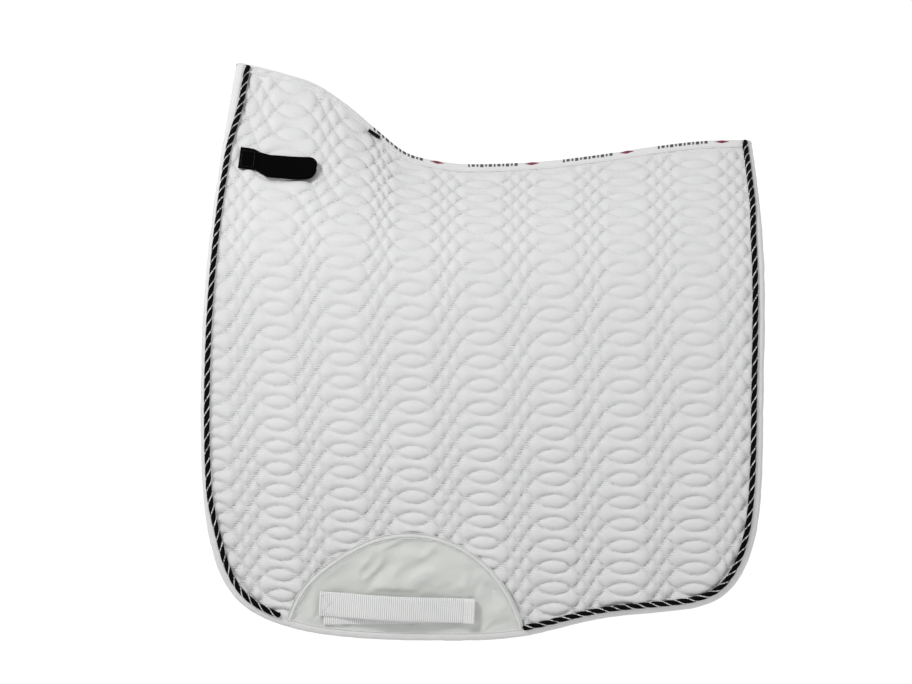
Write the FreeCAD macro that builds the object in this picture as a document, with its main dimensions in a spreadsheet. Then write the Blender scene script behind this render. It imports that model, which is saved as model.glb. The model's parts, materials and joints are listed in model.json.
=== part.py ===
import FreeCAD, Part
import math
import os
import Sketcher

# A contoured dressage saddle pad in the shape it has over a horse's back.  +X points to the
# horse's tail, +Z up, and the left side of the horse is -Y.  The origin is the underside of the
# spine tape in the dip behind the withers.  Lengths are millimetres.

Vector = FreeCAD.Vector

DIMENSIONS = (
    ("half_width", 135.0, "centre plane to the outer skin at the widest line"),
    ("shoulder_height", -76.0, "height where the roof of the pad rounds over to its side"),
    ("shoulder_round", 23.0, "softness of that rounding"),
    ("fold_height", -160.0, "height of the crease where a side flap folds"),
    ("flap_reach", 390.0, "height of a side flap below the crease"),
    ("side_tuck", 65.0, "how far the foot of a flap turns in under the barrel"),
    ("face_thick", 1.0, "quilted cotton face"),
    ("wadding_thick", 5.8, "wadding"),
    ("lining_thick", 1.0, "lining"),
    ("layer_gap", 0.1, "clearance between sewn layers"),
    ("tape_clearance", 0.3, "clearance of the spine tapes"),
    ("tape_thick", 1.0, "spine tape and edge binding"),
    ("spine_tape_drop", 10.0, "height of the spine tape seen from the side"),
    ("binding_width", 10.5, "visible width of the edge binding"),
    ("binding_clearance", 0.4, "clearance of the edge binding round the quilt"),
    ("quilt_trim", 3.6, "how far the quilt is trimmed inside the binding's fold"),
    ("fold_gap", 1.0, "gap between arch and flap at the crease"),
    ("binding_fold_gap", 2.5, "distance of the binding from the crease"),
    ("cord_fold_gap", 6.5, "distance of the cords from the crease"),
    ("cord_dia", 7.5, "twisted edge cord"),
    ("cord_lift", 1.0, "clearance of the cord above the face"),
    ("patch_thick", 0.8, "girth wear patch"),
    ("patch_tape_width", 8.0, "folded tape round the wear patch"),
    ("patch_tape_thick", 1.3, "folded tape round the wear patch"),
    ("strap_length", 184.0, "girth strap, both layers"),
    ("strap_width", 30.0, "girth strap webbing"),
    ("strap_thick", 1.4, "girth strap webbing"),
    ("strap_sewn", 26.0, "sewn front end of the outer webbing"),
    ("strap_bow", 7.5, "how far the outer webbing bows out for the girth"),
    ("strap_closure", 28.0, "hook and loop length of the girth strap"),
    ("fastener_thick", 1.0, "one side of a hook and loop closure"),
    ("tab_base_length", 25.0, "sewn base of the front tab"),
    ("tab_length", 67.0, "free tongue of the front tab"),
    ("tab_width", 33.0, "front tab"),
    ("tab_thick", 1.4, "front tab"),
    ("tab_tip_radius", 11.0, "rounded corners of the tongue"),
    ("tab_closure", 34.0, "hook and loop length of the front tab"),
    ("label_length", 28.0, "blank woven label on the spine"),
    ("label_width", 8.0, "blank woven label on the spine"),
    ("label_thick", 1.6, "blank woven label, two layers"),
)

# Top of the spine tape, from the front end to the rear end: (x, z).
SPINE_POINTS = (
    (-345.0, 139.0),
    (-283.0, 132.5),
    (-234.0, 121.5),
    (-199.0, 108.5),
    (-163.0, 85.0),
    (-128.0, 57.0),
    (-93.0, 28.5),
    (-55.0, 16.5),
    (-16.0, 13.0),
    (73.0, 16.5),
    (143.0, 25.0),
    (214.0, 35.5),
    (267.0, 41.0),
    (345.0, 42.0),
)

# Edge of a side panel from the front end of the spine, round the lower edge, to the rear end.
EDGE_POINTS = (
    (-287.0, 150.0),
    (-305.0, 53.0),
    (-318.0, -30.0),
    (-328.6, -136.0),
    (-333.6, -265.0),
    (-332.5, -350.0),
    (-320.0, -440.0),
    (-291.0, -497.0),
    (-234.0, -530.0),
    (-145.0, -546.0),
    (-45.0, -550.0),
    (49.0, -544.0),
    (135.0, -523.0),
    (220.0, -514.0),
    (283.0, -496.5),
    (314.0, -451.0),
    (326.0, -387.0),
    (330.0, -265.0),
    (331.0, -112.0),
    (325.0, -27.0),
    (315.0, 60.0),
)

# Arched upper edge of the girth wear patch, from its front foot to its rear foot.
PATCH_POINTS = (
    (-243.0, -560.0),
    (-217.0, -490.0),
    (-169.0, -448.0),
    (-128.0, -428.0),
    (-81.0, -422.0),
    (-38.0, -432.0),
    (-2.0, -454.0),
    (30.0, -492.0),
    (58.0, -570.0),
)

ARCH_STATIONS = (
    -345, -315, -285, -250, -220, -190, -160, -130, -100, -70,
    -35, 10, 60, 110, 160, 215, 270, 310, 345,
)
FRONT_END = -345.0
REAR_END = 345.0
SIDE_REACH = 200.0
ABOVE_ALL = 240.0
CENTRE_GAP = 0.15

# Shares of the arch and of the flap that a layer is drawn over, past its ends, and its steps.
OVER_CENTRE = -0.05
BELOW_FOOT = 1.08
ARCH_STEPS = 10
STRIP_STEPS = 3
FLAP_STEPS = 6

# Points along the edge for each trim, and the shortest stretch that a route may end with.
BINDING_POINTS = 110
CORD_POINTS = 70
SHORTEST_END = 4.0

# Small clearances and places of the fittings that are stacked on the skin.
TRIM_GAP = 0.3
STRAP_GAP = 0.4
FASTENER_GAP = 0.05
SEWN_GAP = 0.1
BINDING_TOP_GAP = 3.0
PATCH_DROP = 200.0
TAB_LIFT = 0.5
HINGE_GAP = 0.6
FREE_START = 0.8
CLOSURE_INSET = 1.5
TAB_CLOSURE_INSET = 6.0
LABEL_LIFT = 1.6

# Where the small fittings sit on the left side: (x, z) on the skin and tilt in degrees.
TAB_SEAT = (-264.0, 15.0, -8.0)
STRAP_SEAT = (-193.0, -508.0, -1.9)
LABEL_SEAT = (-142.0, 56.0, -38.0)


def add_dimensions(doc):
    sheet = doc.addObject("Spreadsheet::Sheet", "dimensions")
    for row, (alias, value, note) in enumerate(DIMENSIONS, start=1):
        sheet.set(f"A{row}", alias)
        sheet.set(f"B{row}", str(value))
        sheet.set(f"C{row}", note)
        sheet.setAlias(f"B{row}", alias)
    doc.recompute()
    return sheet


# ---------------------------------------------------------------- the draped surface


def smooth_height(points, x):
    """Height at x of the smooth line through points, which are in order of x."""
    last = len(points) - 1
    span = 0
    while span < last - 1 and x > points[span + 1][0]:
        span += 1
    slopes = []
    for at in (span, span + 1):
        before = points[max(at - 1, 0)]
        after = points[min(at + 1, last)]
        slopes.append((after[1] - before[1]) / (after[0] - before[0]))
    start, end = points[span], points[span + 1]
    width = end[0] - start[0]
    along = (x - start[0]) / width
    rise = (2 * along**3 - 3 * along**2 + 1) * start[1] + (3 * along**2 - 2 * along**3) * end[1]
    lean = (along**3 - 2 * along**2 + along) * slopes[0] + (along**3 - along**2) * slopes[1]
    return rise + width * lean


def crown_height(sheet, x):
    """Height of the outer skin's ridge, just under the spine tape."""
    return smooth_height(SPINE_POINTS, x) - sheet.tape_thick - 2 * sheet.tape_clearance


def shoulder_share(sheet, height):
    """Grows from 0 at the foot of the shoulder to a straight line above it."""
    return math.log(1 + math.exp((height - sheet.shoulder_height) / sheet.shoulder_round))


def arch_point(sheet, x, share, outward):
    """Point of the arch at share 0 (spine) to 1 (crease), moved outward off the skin."""
    crown = crown_height(sheet, x)
    height = crown - (crown - sheet.fold_height) * share
    at_crown = shoulder_share(sheet, crown)
    span = at_crown - shoulder_share(sheet, sheet.fold_height)
    across = sheet.half_width * (at_crown - shoulder_share(sheet, height)) / span
    level = math.exp((sheet.shoulder_height - height) / sheet.shoulder_round)
    slope = sheet.half_width / (span * sheet.shoulder_round * (1 + level))
    off_skin = Vector(0, -1, slope)
    off_skin.normalize()
    return Vector(x, -across, height) + off_skin * outward


def flap_point(sheet, x, share, outward):
    """Point of a side flap at share 0 (crease) to 1 (foot), moved outward off the skin."""
    across = Vector(0, -sheet.flap_reach, -2 * sheet.side_tuck * share)
    across.normalize()
    height = sheet.fold_height - sheet.flap_reach * share
    skin = Vector(x, -sheet.half_width + sheet.side_tuck * share**2, height)
    return skin + across * outward


def skin_point(sheet, x, height, outward):
    """Point of the left outer skin at x and height."""
    if height >= sheet.fold_height:
        crown = crown_height(sheet, x)
        return arch_point(sheet, x, (crown - height) / (crown - sheet.fold_height), outward)
    return flap_point(sheet, x, (sheet.fold_height - height) / sheet.flap_reach, outward)


def skin_axes(sheet, x, height):
    """Point of the left skin, and how it moves per millimetre rearward and upward."""
    step = 0.5
    point = skin_point(sheet, x, height, 0)
    rearward = (skin_point(sheet, x + step, height, 0) - point) / step
    upward = (skin_point(sheet, x, height + step, 0) - point) / step
    return point, rearward, upward


def spline_edge(points):
    curve = Part.BSplineCurve()
    curve.interpolate(points)
    return curve.toShape()


def band_wire(outer, inner):
    """Closed wire between two lists of points that run the same way."""
    edges = [
        spline_edge(outer),
        Part.makeLine(outer[-1], inner[-1]),
        spline_edge(inner[::-1]),
        Part.makeLine(inner[0], outer[0]),
    ]
    return Part.Wire(edges)


def arch_strip(sheet, outer, inner, foot_drop, steps):
    """Part of the left arch between two distances off the skin, from just over the centre
    plane down to foot_drop below the ridge; without foot_drop it reaches the crease."""
    wires = []
    for x in ARCH_STATIONS:
        drop = crown_height(sheet, x) - sheet.fold_height
        foot = 1.0 if foot_drop is None else foot_drop / drop
        shares = [OVER_CENTRE + (foot - OVER_CENTRE) * step / steps for step in range(steps + 1)]
        wires.append(
            band_wire(
                [arch_point(sheet, x, share, outer) for share in shares],
                [arch_point(sheet, x, share, inner) for share in shares],
            )
        )
    return Part.makeLoft(wires, True, False)


def flap_layer(sheet, outer, inner, top_gap):
    """One layer of the left flap, between two distances off the skin."""
    top = top_gap / sheet.flap_reach
    shares = [top + (BELOW_FOOT - top) * step / FLAP_STEPS for step in range(FLAP_STEPS + 1)]
    wire = band_wire(
        [flap_point(sheet, FRONT_END, share, outer) for share in shares],
        [flap_point(sheet, FRONT_END, share, inner) for share in shares],
    )
    return Part.Face(wire).extrude(Vector(REAR_END - FRONT_END, 0, 0))


# ---------------------------------------------------------------- outlines seen from the side


def edge_line():
    curve = Part.BSplineCurve()
    curve.interpolate([Vector(x, 0, z) for x, z in EDGE_POINTS])
    return curve


def inset_points(curve, inset, count=60):
    """Points beside a curve that goes round the outline, inset towards its inside."""
    points = []
    for step in range(count + 1):
        at = curve.FirstParameter + (curve.LastParameter - curve.FirstParameter) * step / count
        along = curve.tangent(at)[0]
        points.append(curve.value(at) + Vector(-along.z, 0, along.x) * inset)
    return points


def panel_prism(inset):
    """Everything inside the panel's edge, moved in by inset, on the left of the centre."""
    points = inset_points(edge_line(), inset)
    front_top = Vector(points[0].x, 0, ABOVE_ALL)
    rear_top = Vector(points[-1].x, 0, ABOVE_ALL)
    edges = [
        spline_edge(points),
        Part.makeLine(points[-1], rear_top),
        Part.makeLine(rear_top, front_top),
        Part.makeLine(front_top, points[0]),
    ]
    face = Part.Face(Part.Wire(edges))
    face.translate(Vector(0, -CENTRE_GAP, 0))
    return face.extrude(Vector(0, -SIDE_REACH, 0))


def patch_prism(inset):
    """Everything under the wear patch's arch, moved in by inset."""
    curve = Part.BSplineCurve()
    curve.interpolate([Vector(x, 0, z) for x, z in PATCH_POINTS])
    points = inset_points(curve, -inset, 30)
    edges = [spline_edge(points), Part.makeLine(points[-1], points[0])]
    return Part.Face(Part.Wire(edges)).extrude(Vector(0, -SIDE_REACH, 0))


# ---------------------------------------------------------------- sewn layers and trims


def add_shape(doc, label, shape):
    piece = doc.addObject("Part::Feature", label)
    piece.Shape = shape
    piece.Placement = FreeCAD.Placement()
    piece.Label = label
    return piece


def add_quilt_layers(doc, sheet):
    """Face, wadding and lining of the left arch and the left flap."""
    wadding_top = -sheet.face_thick - sheet.layer_gap
    wadding_foot = wadding_top - sheet.wadding_thick
    lining_top = wadding_foot - sheet.layer_gap
    layers = (
        ("face", 0.0, -sheet.face_thick),
        ("wadding", wadding_top, wadding_foot),
        ("lining", lining_top, lining_top - sheet.lining_thick),
    )
    inside = panel_prism(sheet.quilt_trim)
    pieces = []
    for name, outer, inner in layers:
        arch = arch_strip(sheet, outer, inner, None, ARCH_STEPS).common(inside)
        flap = flap_layer(sheet, outer, inner, sheet.fold_gap).common(inside)
        pieces.append(add_shape(doc, f"left_{name}_arch", arch))
        pieces.append(add_shape(doc, f"left_{name}_flap", flap))
    return pieces


def quilt_depth(sheet):
    return sheet.face_thick + sheet.wadding_thick + sheet.lining_thick + 2 * sheet.layer_gap


def edge_frame(sheet, route, at):
    """Point, inward and outward directions on the left skin at one point of an edge route."""
    x, z = route[at]
    before = route[max(at - 1, 0)]
    after = route[min(at + 1, len(route) - 1)]
    point, rearward, upward = skin_axes(sheet, x, z)
    outward = rearward.cross(upward)
    outward.normalize()
    along = rearward * (after[0] - before[0]) + upward * (after[1] - before[1])
    inward = outward.cross(along)
    inward.normalize()
    return point, inward, outward


def binding_band(sheet, route):
    """Tape folded round the quilt's edge along a route that runs anticlockwise."""
    clear = sheet.binding_clearance
    wrap = clear + sheet.tape_thick
    foot = -quilt_depth(sheet)
    corners = (
        (sheet.binding_width, wrap),
        (-wrap, wrap),
        (-wrap, foot - wrap),
        (sheet.binding_width, foot - wrap),
        (sheet.binding_width, foot - clear),
        (-clear, foot - clear),
        (-clear, clear),
        (sheet.binding_width, clear),
    )
    sections = []
    for at in range(len(route)):
        point, inward, outward = edge_frame(sheet, route, at)
        ring = [point + inward * across + outward * off for across, off in corners]
        sections.append(Part.makePolygon(ring + ring[:1]))
    return Part.makeLoft(sections, True, True)


def add_bindings(doc, sheet):
    """Tape folded round the left panel's front, lower and rear edges, parted at the crease."""
    line = [(point.x, point.z) for point in inset_points(edge_line(), 0.0, BINDING_POINTS)]
    above = sheet.fold_height + sheet.binding_fold_gap
    below = sheet.fold_height - sheet.binding_fold_gap
    top_gap = sheet.spine_tape_drop + BINDING_TOP_GAP
    front = arch_route(line, above, top_gap)
    rear = arch_route(line[::-1], above, top_gap)[::-1]
    flap = flap_route(line, below)
    return [
        add_shape(doc, "left_front_binding_arch", binding_band(sheet, front)),
        add_shape(doc, "left_rear_binding_arch", binding_band(sheet, rear)),
        add_shape(doc, "left_binding_flap", binding_band(sheet, flap)),
    ]


def arch_route(line, low, top_gap):
    """The first stretch of a line that goes down, from top_gap under the spine to low."""
    route = []
    for x, z in line:
        if z < low + SHORTEST_END:
            break
        if z < smooth_height(SPINE_POINTS, x) - top_gap:
            route.append((x, z))
    route.append((x_at_height(line, low), low))
    return route


def flap_route(line, high):
    """The stretch of a line below a height, with both ends at that height."""
    route = [(x_at_height(line, high), high)]
    route += [(x, z) for x, z in line if z < high - SHORTEST_END]
    route.append((x_at_height(line[::-1], high), high))
    return route


def cord_tube(sheet, route):
    """Round cord on the left skin over the side-view points of route."""
    radius = sheet.cord_dia / 2
    centres = [skin_point(sheet, x, z, radius + sheet.cord_lift) for x, z in route]
    last = len(centres) - 1
    rings = []
    for at, centre in enumerate(centres):
        along = centres[min(at + 1, last)] - centres[max(at - 1, 0)]
        ring = Part.makeCircle(radius)
        turn = FreeCAD.Rotation(Vector(0, -1, 0), Vector(), along, "ZXY")
        ring.Placement = FreeCAD.Placement(centre, turn)
        rings.append(Part.Wire(ring))
    return Part.makeLoft(rings, True, True)


def add_cords(doc, sheet):
    """Front and rear twisted cord of the left side, each parted at the crease."""
    inset = sheet.binding_width + sheet.cord_dia / 2 + sheet.binding_clearance
    line = [(point.x, point.z) for point in inset_points(edge_line(), inset, CORD_POINTS)]
    above = sheet.fold_height + sheet.cord_fold_gap
    below = sheet.fold_height - sheet.cord_fold_gap
    top_gap = sheet.spine_tape_drop + sheet.cord_dia
    foot = PATCH_POINTS[0][0] + sheet.cord_dia
    heel = PATCH_POINTS[-1][0] - sheet.cord_dia
    low_front = [(x, z) for x, z in flap_route(line, below) if x < foot]
    low_rear = [(x, z) for x, z in flap_route(line, below) if x > heel]
    routes = (
        ("left_front_cord_arch", arch_route(line, above, top_gap)),
        ("left_rear_cord_arch", arch_route(line[::-1], above, top_gap)),
        ("left_front_cord_flap", low_front),
        ("left_rear_cord_flap", low_rear),
    )
    return [add_shape(doc, label, cord_tube(sheet, route)) for label, route in routes]


def x_at_height(line, height):
    """Where a line that goes down first passes height."""
    for start, end in zip(line, line[1:]):
        if start[1] >= height > end[1]:
            share = (start[1] - height) / (start[1] - end[1])
            return start[0] + share * (end[0] - start[0])
    raise ValueError("the line never reaches that height")


def add_wear_patch(doc, sheet):
    """Smooth patch above the left flap's lower edge, and the folded tape round its arch."""
    clear = sheet.layer_gap
    patch_top = clear + sheet.patch_thick
    tape_top = clear + sheet.patch_tape_thick
    inside = panel_prism(sheet.binding_width + TRIM_GAP)
    patch_space = patch_prism(sheet.patch_tape_width + TRIM_GAP)
    tape_space = patch_prism(0.0).cut(patch_prism(sheet.patch_tape_width))
    patch = flap_layer(sheet, patch_top, clear, PATCH_DROP).common(inside).common(patch_space)
    tape = flap_layer(sheet, tape_top, clear, PATCH_DROP).common(inside).common(tape_space)
    return [
        add_shape(doc, "left_girth_patch", patch),
        add_shape(doc, "left_girth_patch_tape", tape),
    ]


def add_spine_tapes(doc, sheet):
    """Tape over and tape under the seam between the two panels."""
    clear = sheet.tape_clearance
    depth = quilt_depth(sheet)
    ends = panel_prism(-clear - sheet.tape_thick)
    ends.translate(Vector(0, CENTRE_GAP, 0))
    pieces = []
    for name, outer, inner in (
        ("spine_tape_outer", clear + sheet.tape_thick, clear),
        ("spine_tape_inner", -depth - clear, -depth - clear - sheet.tape_thick),
    ):
        strip = arch_strip(sheet, outer, inner, sheet.spine_tape_drop, STRIP_STEPS)
        left = strip.common(ends)
        right = left.mirror(Vector(0, 0, 0), Vector(0, 1, 0))
        pieces.append(add_shape(doc, name, left.fuse(right).removeSplitter()))
    return pieces


# ---------------------------------------------------------------- flat fittings


def seat_placement(sheet, seat, along=0.0, lift=0.0):
    """Frame on the left skin: local X rearward, Y up the skin and Z outward."""
    x, z, tilt = seat
    base, rearward, upward = skin_axes(sheet, x, z)
    outward = rearward.cross(upward)
    square = FreeCAD.Rotation(rearward, upward, outward, "ZXY")
    turned = square.multiply(FreeCAD.Rotation(Vector(0, 0, 1), tilt))
    shift = turned.multVec(Vector(along, 0, lift))
    return FreeCAD.Placement(base + shift, turned)


def origin_plane(body, role):
    for feature in body.Origin.OriginFeatures:
        if feature.Role == role:
            return feature
    raise ValueError(role)


def plate_sketch(body, sheet_width, sheet_length):
    """Rectangle from the local origin along X, centred on Y, sized by two cells."""
    sketch = body.newObject("Sketcher::SketchObject", body.Name + "_outline")
    sketch.AttachmentSupport = [(origin_plane(body, "XY_Plane"), "")]
    sketch.MapMode = "FlatFace"
    corners = [Vector(0, -10, 0), Vector(40, -10, 0), Vector(40, 10, 0), Vector(0, 10, 0)]
    for at in range(4):
        sketch.addGeometry(Part.LineSegment(corners[at], corners[(at + 1) % 4]), False)
    for at in range(4):
        sketch.addConstraint(Sketcher.Constraint("Coincident", at, 2, (at + 1) % 4, 1))
    for side, kind in enumerate(("Horizontal", "Vertical", "Horizontal")):
        sketch.addConstraint(Sketcher.Constraint(kind, side))
    sketch.addConstraint(Sketcher.Constraint("Symmetric", 0, 1, 2, 2, -1))
    sketch.addConstraint(Sketcher.Constraint("PointOnObject", 0, 1, -2))
    length_at = sketch.addConstraint(Sketcher.Constraint("DistanceX", 0, 1, 0, 2, 40.0))
    width_at = sketch.addConstraint(Sketcher.Constraint("DistanceY", 1, 1, 1, 2, 20.0))
    sketch.setExpression(f"Constraints[{length_at}]", f"dimensions.{sheet_length}")
    sketch.setExpression(f"Constraints[{width_at}]", f"dimensions.{sheet_width}")
    return sketch


def add_plate(doc, label, length, width, thick, placement):
    """Flat piece of webbing, tape or hook and loop, sized by three cells."""
    body = doc.addObject("PartDesign::Body", label)
    body.Label = label
    sketch = plate_sketch(body, width, length)
    pad = body.newObject("PartDesign::Pad", label + "_pad")
    pad.Profile = sketch
    pad.setExpression("Length", f"dimensions.{thick}")
    body.Placement = placement
    doc.recompute()
    return body


def round_far_corners(doc, body, radius, length):
    """Round the two corners at a plate's far end."""
    pad = body.Tip
    names = []
    for number, edge in enumerate(pad.Shape.Edges, start=1):
        middle = edge.BoundBox.Center
        upright = edge.BoundBox.ZLength > edge.BoundBox.XLength + edge.BoundBox.YLength
        if upright and abs(middle.x - length) < 0.01:
            names.append(f"Edge{number}")
    fillet = body.newObject("PartDesign::Fillet", body.Name + "_round")
    fillet.Base = (pad, names)
    fillet.setExpression("Radius", f"dimensions.{radius}")
    body.Tip = fillet
    doc.recompute()


def add_bowed_strap(doc, sheet, label, placement):
    """Outer girth webbing between its sewn end and its free end, bowed out in an arc."""
    body = doc.addObject("PartDesign::Body", label)
    body.Label = label
    sketch = body.newObject("Sketcher::SketchObject", label + "_profile")
    sketch.AttachmentSupport = [(origin_plane(body, "XZ_Plane"), "")]
    sketch.MapMode = "FlatFace"
    span = sheet.strap_length - sheet.strap_sewn - sheet.strap_closure - CLOSURE_INSET
    rise = sheet.strap_bow
    thick = sheet.strap_thick
    tail = span + sheet.strap_closure
    ends = [
        Vector(FREE_START, 0, 0),
        Vector(span, 0, 0),
        Vector(span, thick, 0),
        Vector(FREE_START, thick, 0),
    ]
    crest = Vector(span / 2, rise, 0)
    crest_top = Vector(span / 2, rise + thick, 0)
    inner = Part.Arc(ends[0], crest, ends[1])
    outer = Part.Arc(ends[3], crest_top, ends[2])
    tail_foot = Vector(tail, 0, 0)
    tail_top = Vector(tail, thick, 0)
    sketch.addGeometry(inner, False)
    sketch.addGeometry(Part.LineSegment(ends[1], tail_foot), False)
    sketch.addGeometry(Part.LineSegment(tail_foot, tail_top), False)
    sketch.addGeometry(Part.LineSegment(tail_top, ends[2]), False)
    sketch.addGeometry(outer, False)
    sketch.addGeometry(Part.LineSegment(ends[3], ends[0]), False)
    pad = body.newObject("PartDesign::Pad", label + "_pad")
    pad.Profile = sketch
    pad.Midplane = True
    pad.setExpression("Length", "dimensions.strap_width")
    body.Placement = placement
    doc.recompute()
    return body


def add_girth_strap(doc, sheet):
    """Base webbing, sewn end, bowed free webbing and its hook and loop, on the left flap."""
    patch_top = sheet.layer_gap + sheet.patch_thick
    base_lift = patch_top + STRAP_GAP
    loop_lift = base_lift + sheet.strap_thick + SEWN_GAP
    hook_lift = loop_lift + sheet.fastener_thick + STRAP_GAP
    flap_lift = hook_lift + sheet.fastener_thick + FASTENER_GAP
    closure_at = sheet.strap_length - sheet.strap_closure - CLOSURE_INSET
    hinge_at = sheet.strap_sewn
    width, thick = "strap_width", "strap_thick"

    def seat(along, lift):
        return seat_placement(sheet, STRAP_SEAT, along, lift)

    pieces = [
        add_plate(doc, "left_girth_strap_base", "strap_length", width, thick, seat(0, base_lift)),
        add_plate(doc, "left_girth_strap_end", "strap_sewn", width, thick, seat(0, loop_lift)),
        add_bowed_strap(doc, sheet, "left_girth_strap_flap", seat(hinge_at, flap_lift)),
    ]
    for name, lift in (("loop", loop_lift), ("hook", hook_lift)):
        label = f"left_girth_strap_{name}"
        at = seat(closure_at, lift)
        pieces.append(add_plate(doc, label, "strap_closure", width, "fastener_thick", at))
    return pieces


def add_front_tab(doc, sheet):
    """Sewn base, free tongue and hook and loop of the black tab by the left front edge."""
    hook_lift = TAB_LIFT + sheet.fastener_thick + STRAP_GAP
    tongue_lift = hook_lift + sheet.fastener_thick + FASTENER_GAP
    closure_at = sheet.tab_length - sheet.tab_closure - TAB_CLOSURE_INSET

    def seat(along, lift):
        return seat_placement(sheet, TAB_SEAT, along, lift)

    width, thick = "tab_width", "tab_thick"
    base_at = seat(-sheet.tab_base_length - HINGE_GAP, TAB_LIFT)
    base = add_plate(doc, "left_tab_base", "tab_base_length", width, thick, base_at)
    tongue = add_plate(doc, "left_tab_tongue", "tab_length", width, thick, seat(0, tongue_lift))
    round_far_corners(doc, tongue, "tab_tip_radius", sheet.tab_length)
    pieces = [base, tongue]
    for name, lift in (("loop", TAB_LIFT), ("hook", hook_lift)):
        label = f"left_tab_{name}"
        at = seat(closure_at, lift)
        pieces.append(add_plate(doc, label, "tab_closure", width, "fastener_thick", at))
    return pieces


def add_label(doc, sheet):
    """Blank woven label folded under the left edge of the spine tape."""
    seat = seat_placement(sheet, LABEL_SEAT, 0, LABEL_LIFT)
    sizes = "label_length", "label_width", "label_thick"
    return add_plate(doc, "spine_label", *sizes, seat)


# ---------------------------------------------------------------- the whole pad


def mirrored(doc, piece):
    """The right-hand twin of a left-hand piece."""
    twin = doc.addObject("Part::Mirroring", piece.Label.replace("left_", "right_", 1))
    twin.Source = piece
    twin.Base = Vector(0, 0, 0)
    twin.Normal = Vector(0, 1, 0)
    twin.Label = piece.Label.replace("left_", "right_", 1)
    return twin


def check_all(doc, pieces):
    for thing in doc.Objects:
        if "Invalid" in thing.State or "Error" in thing.State:
            raise RuntimeError(f"{thing.Label} is {thing.State}")
    for piece in pieces:
        shape = piece.Shape
        if shape.isNull() or not shape.isValid() or not shape.Solids or shape.Volume <= 0:
            raise RuntimeError(f"{piece.Label} has no valid solid")


def main():
    doc = FreeCAD.newDocument("saddle_pad")
    sheet = add_dimensions(doc)
    sided = add_quilt_layers(doc, sheet)
    sided += add_bindings(doc, sheet)
    sided += add_cords(doc, sheet)
    sided += add_wear_patch(doc, sheet)
    sided += add_girth_strap(doc, sheet)
    sided += add_front_tab(doc, sheet)
    pieces = sided + [mirrored(doc, piece) for piece in sided]
    pieces += add_spine_tapes(doc, sheet)
    pieces.append(add_label(doc, sheet))
    doc.recompute()
    check_all(doc, pieces)
    os.makedirs("parts", exist_ok=True)
    for piece in pieces:
        piece.Shape.exportStep(os.path.join("parts", piece.Label + ".step"))
        box = piece.Shape.BoundBox
        count = len(piece.Shape.Solids)
        print(f"{piece.Label}: {count} solid, {piece.Shape.Volume / 1000:.2f} cm3", box)


main()
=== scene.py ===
import json
import math

import bpy
import numpy as np
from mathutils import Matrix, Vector


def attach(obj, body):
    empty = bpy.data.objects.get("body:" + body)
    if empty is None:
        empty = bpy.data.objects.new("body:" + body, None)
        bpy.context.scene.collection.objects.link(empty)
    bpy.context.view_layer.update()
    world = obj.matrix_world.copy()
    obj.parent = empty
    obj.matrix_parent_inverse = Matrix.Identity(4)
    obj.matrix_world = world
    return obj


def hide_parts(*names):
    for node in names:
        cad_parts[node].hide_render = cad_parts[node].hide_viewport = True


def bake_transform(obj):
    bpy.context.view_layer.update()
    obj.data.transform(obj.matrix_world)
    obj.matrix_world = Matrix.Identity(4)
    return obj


# The looks of a quilted dressage saddle pad in the shape it has over a horse's back.
# +X points to the tail, +Z up, and the near (left) side is -Y.  Lengths are metres.

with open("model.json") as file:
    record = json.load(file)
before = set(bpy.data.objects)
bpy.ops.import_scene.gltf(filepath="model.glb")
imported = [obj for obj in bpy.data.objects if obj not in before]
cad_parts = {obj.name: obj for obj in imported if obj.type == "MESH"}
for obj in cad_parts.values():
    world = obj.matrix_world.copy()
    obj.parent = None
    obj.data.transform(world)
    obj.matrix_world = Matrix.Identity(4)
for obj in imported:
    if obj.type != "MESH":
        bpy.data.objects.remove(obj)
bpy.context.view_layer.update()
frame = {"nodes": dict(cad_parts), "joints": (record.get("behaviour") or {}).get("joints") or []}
JOINTS = {joint["name"]: joint for joint in frame["joints"]}
MM = 0.001

# --- sizes

# The draped cloth
HALF_WIDTH = 135 * MM
SHOULDER_HEIGHT = -76 * MM
SHOULDER_ROUND = 23 * MM
FOLD_HEIGHT = JOINTS["left_flap_fold"]["pos_m"][2]
FOLD_BLEND = 32 * MM
FLAP_REACH = 390 * MM
SIDE_TUCK = 65 * MM
CROWN_DROP = 1.6 * MM
QUILT_DEPTH = 8 * MM

# Trims and fittings
BINDING_WIDTH = 10.5 * MM
CORD_RADIUS = 3.55 * MM
CORD_INSET = 11.2 * MM
CORD_LAY = 30 * MM
CORD_LIFT = 2.2 * MM
YARN_RADIUS = 0.68 * MM
SPINE_TAPE_DROP = 8.5 * MM
PATCH_TAPE_WIDTH = 8 * MM
PATCH_TAPE_SEAMS = (-2.4 * MM, 2.4 * MM)
STRAP_LENGTH = 184 * MM
STRAP_WIDTH = 30 * MM
STRAP_BASE_LENGTH = 172.5 * MM
STRAP_BASE_TURN = math.radians(3.7)
STRAP_HEM = 12 * MM
RIB_PITCH = 2.45 * MM
RIB_DEPTH = 0.38 * MM
TAB_BASE = 25.6 * MM
TAB_LENGTH = 67 * MM
TAB_WIDTH = 33 * MM
TAB_THICK = 1.4 * MM
TAB_TIP_RADIUS = 12 * MM
TAB_CLOSURE = (22 * MM, 58 * MM)
LABEL_LENGTH = 16 * MM
LABEL_WIDTH = 6.4 * MM

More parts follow.
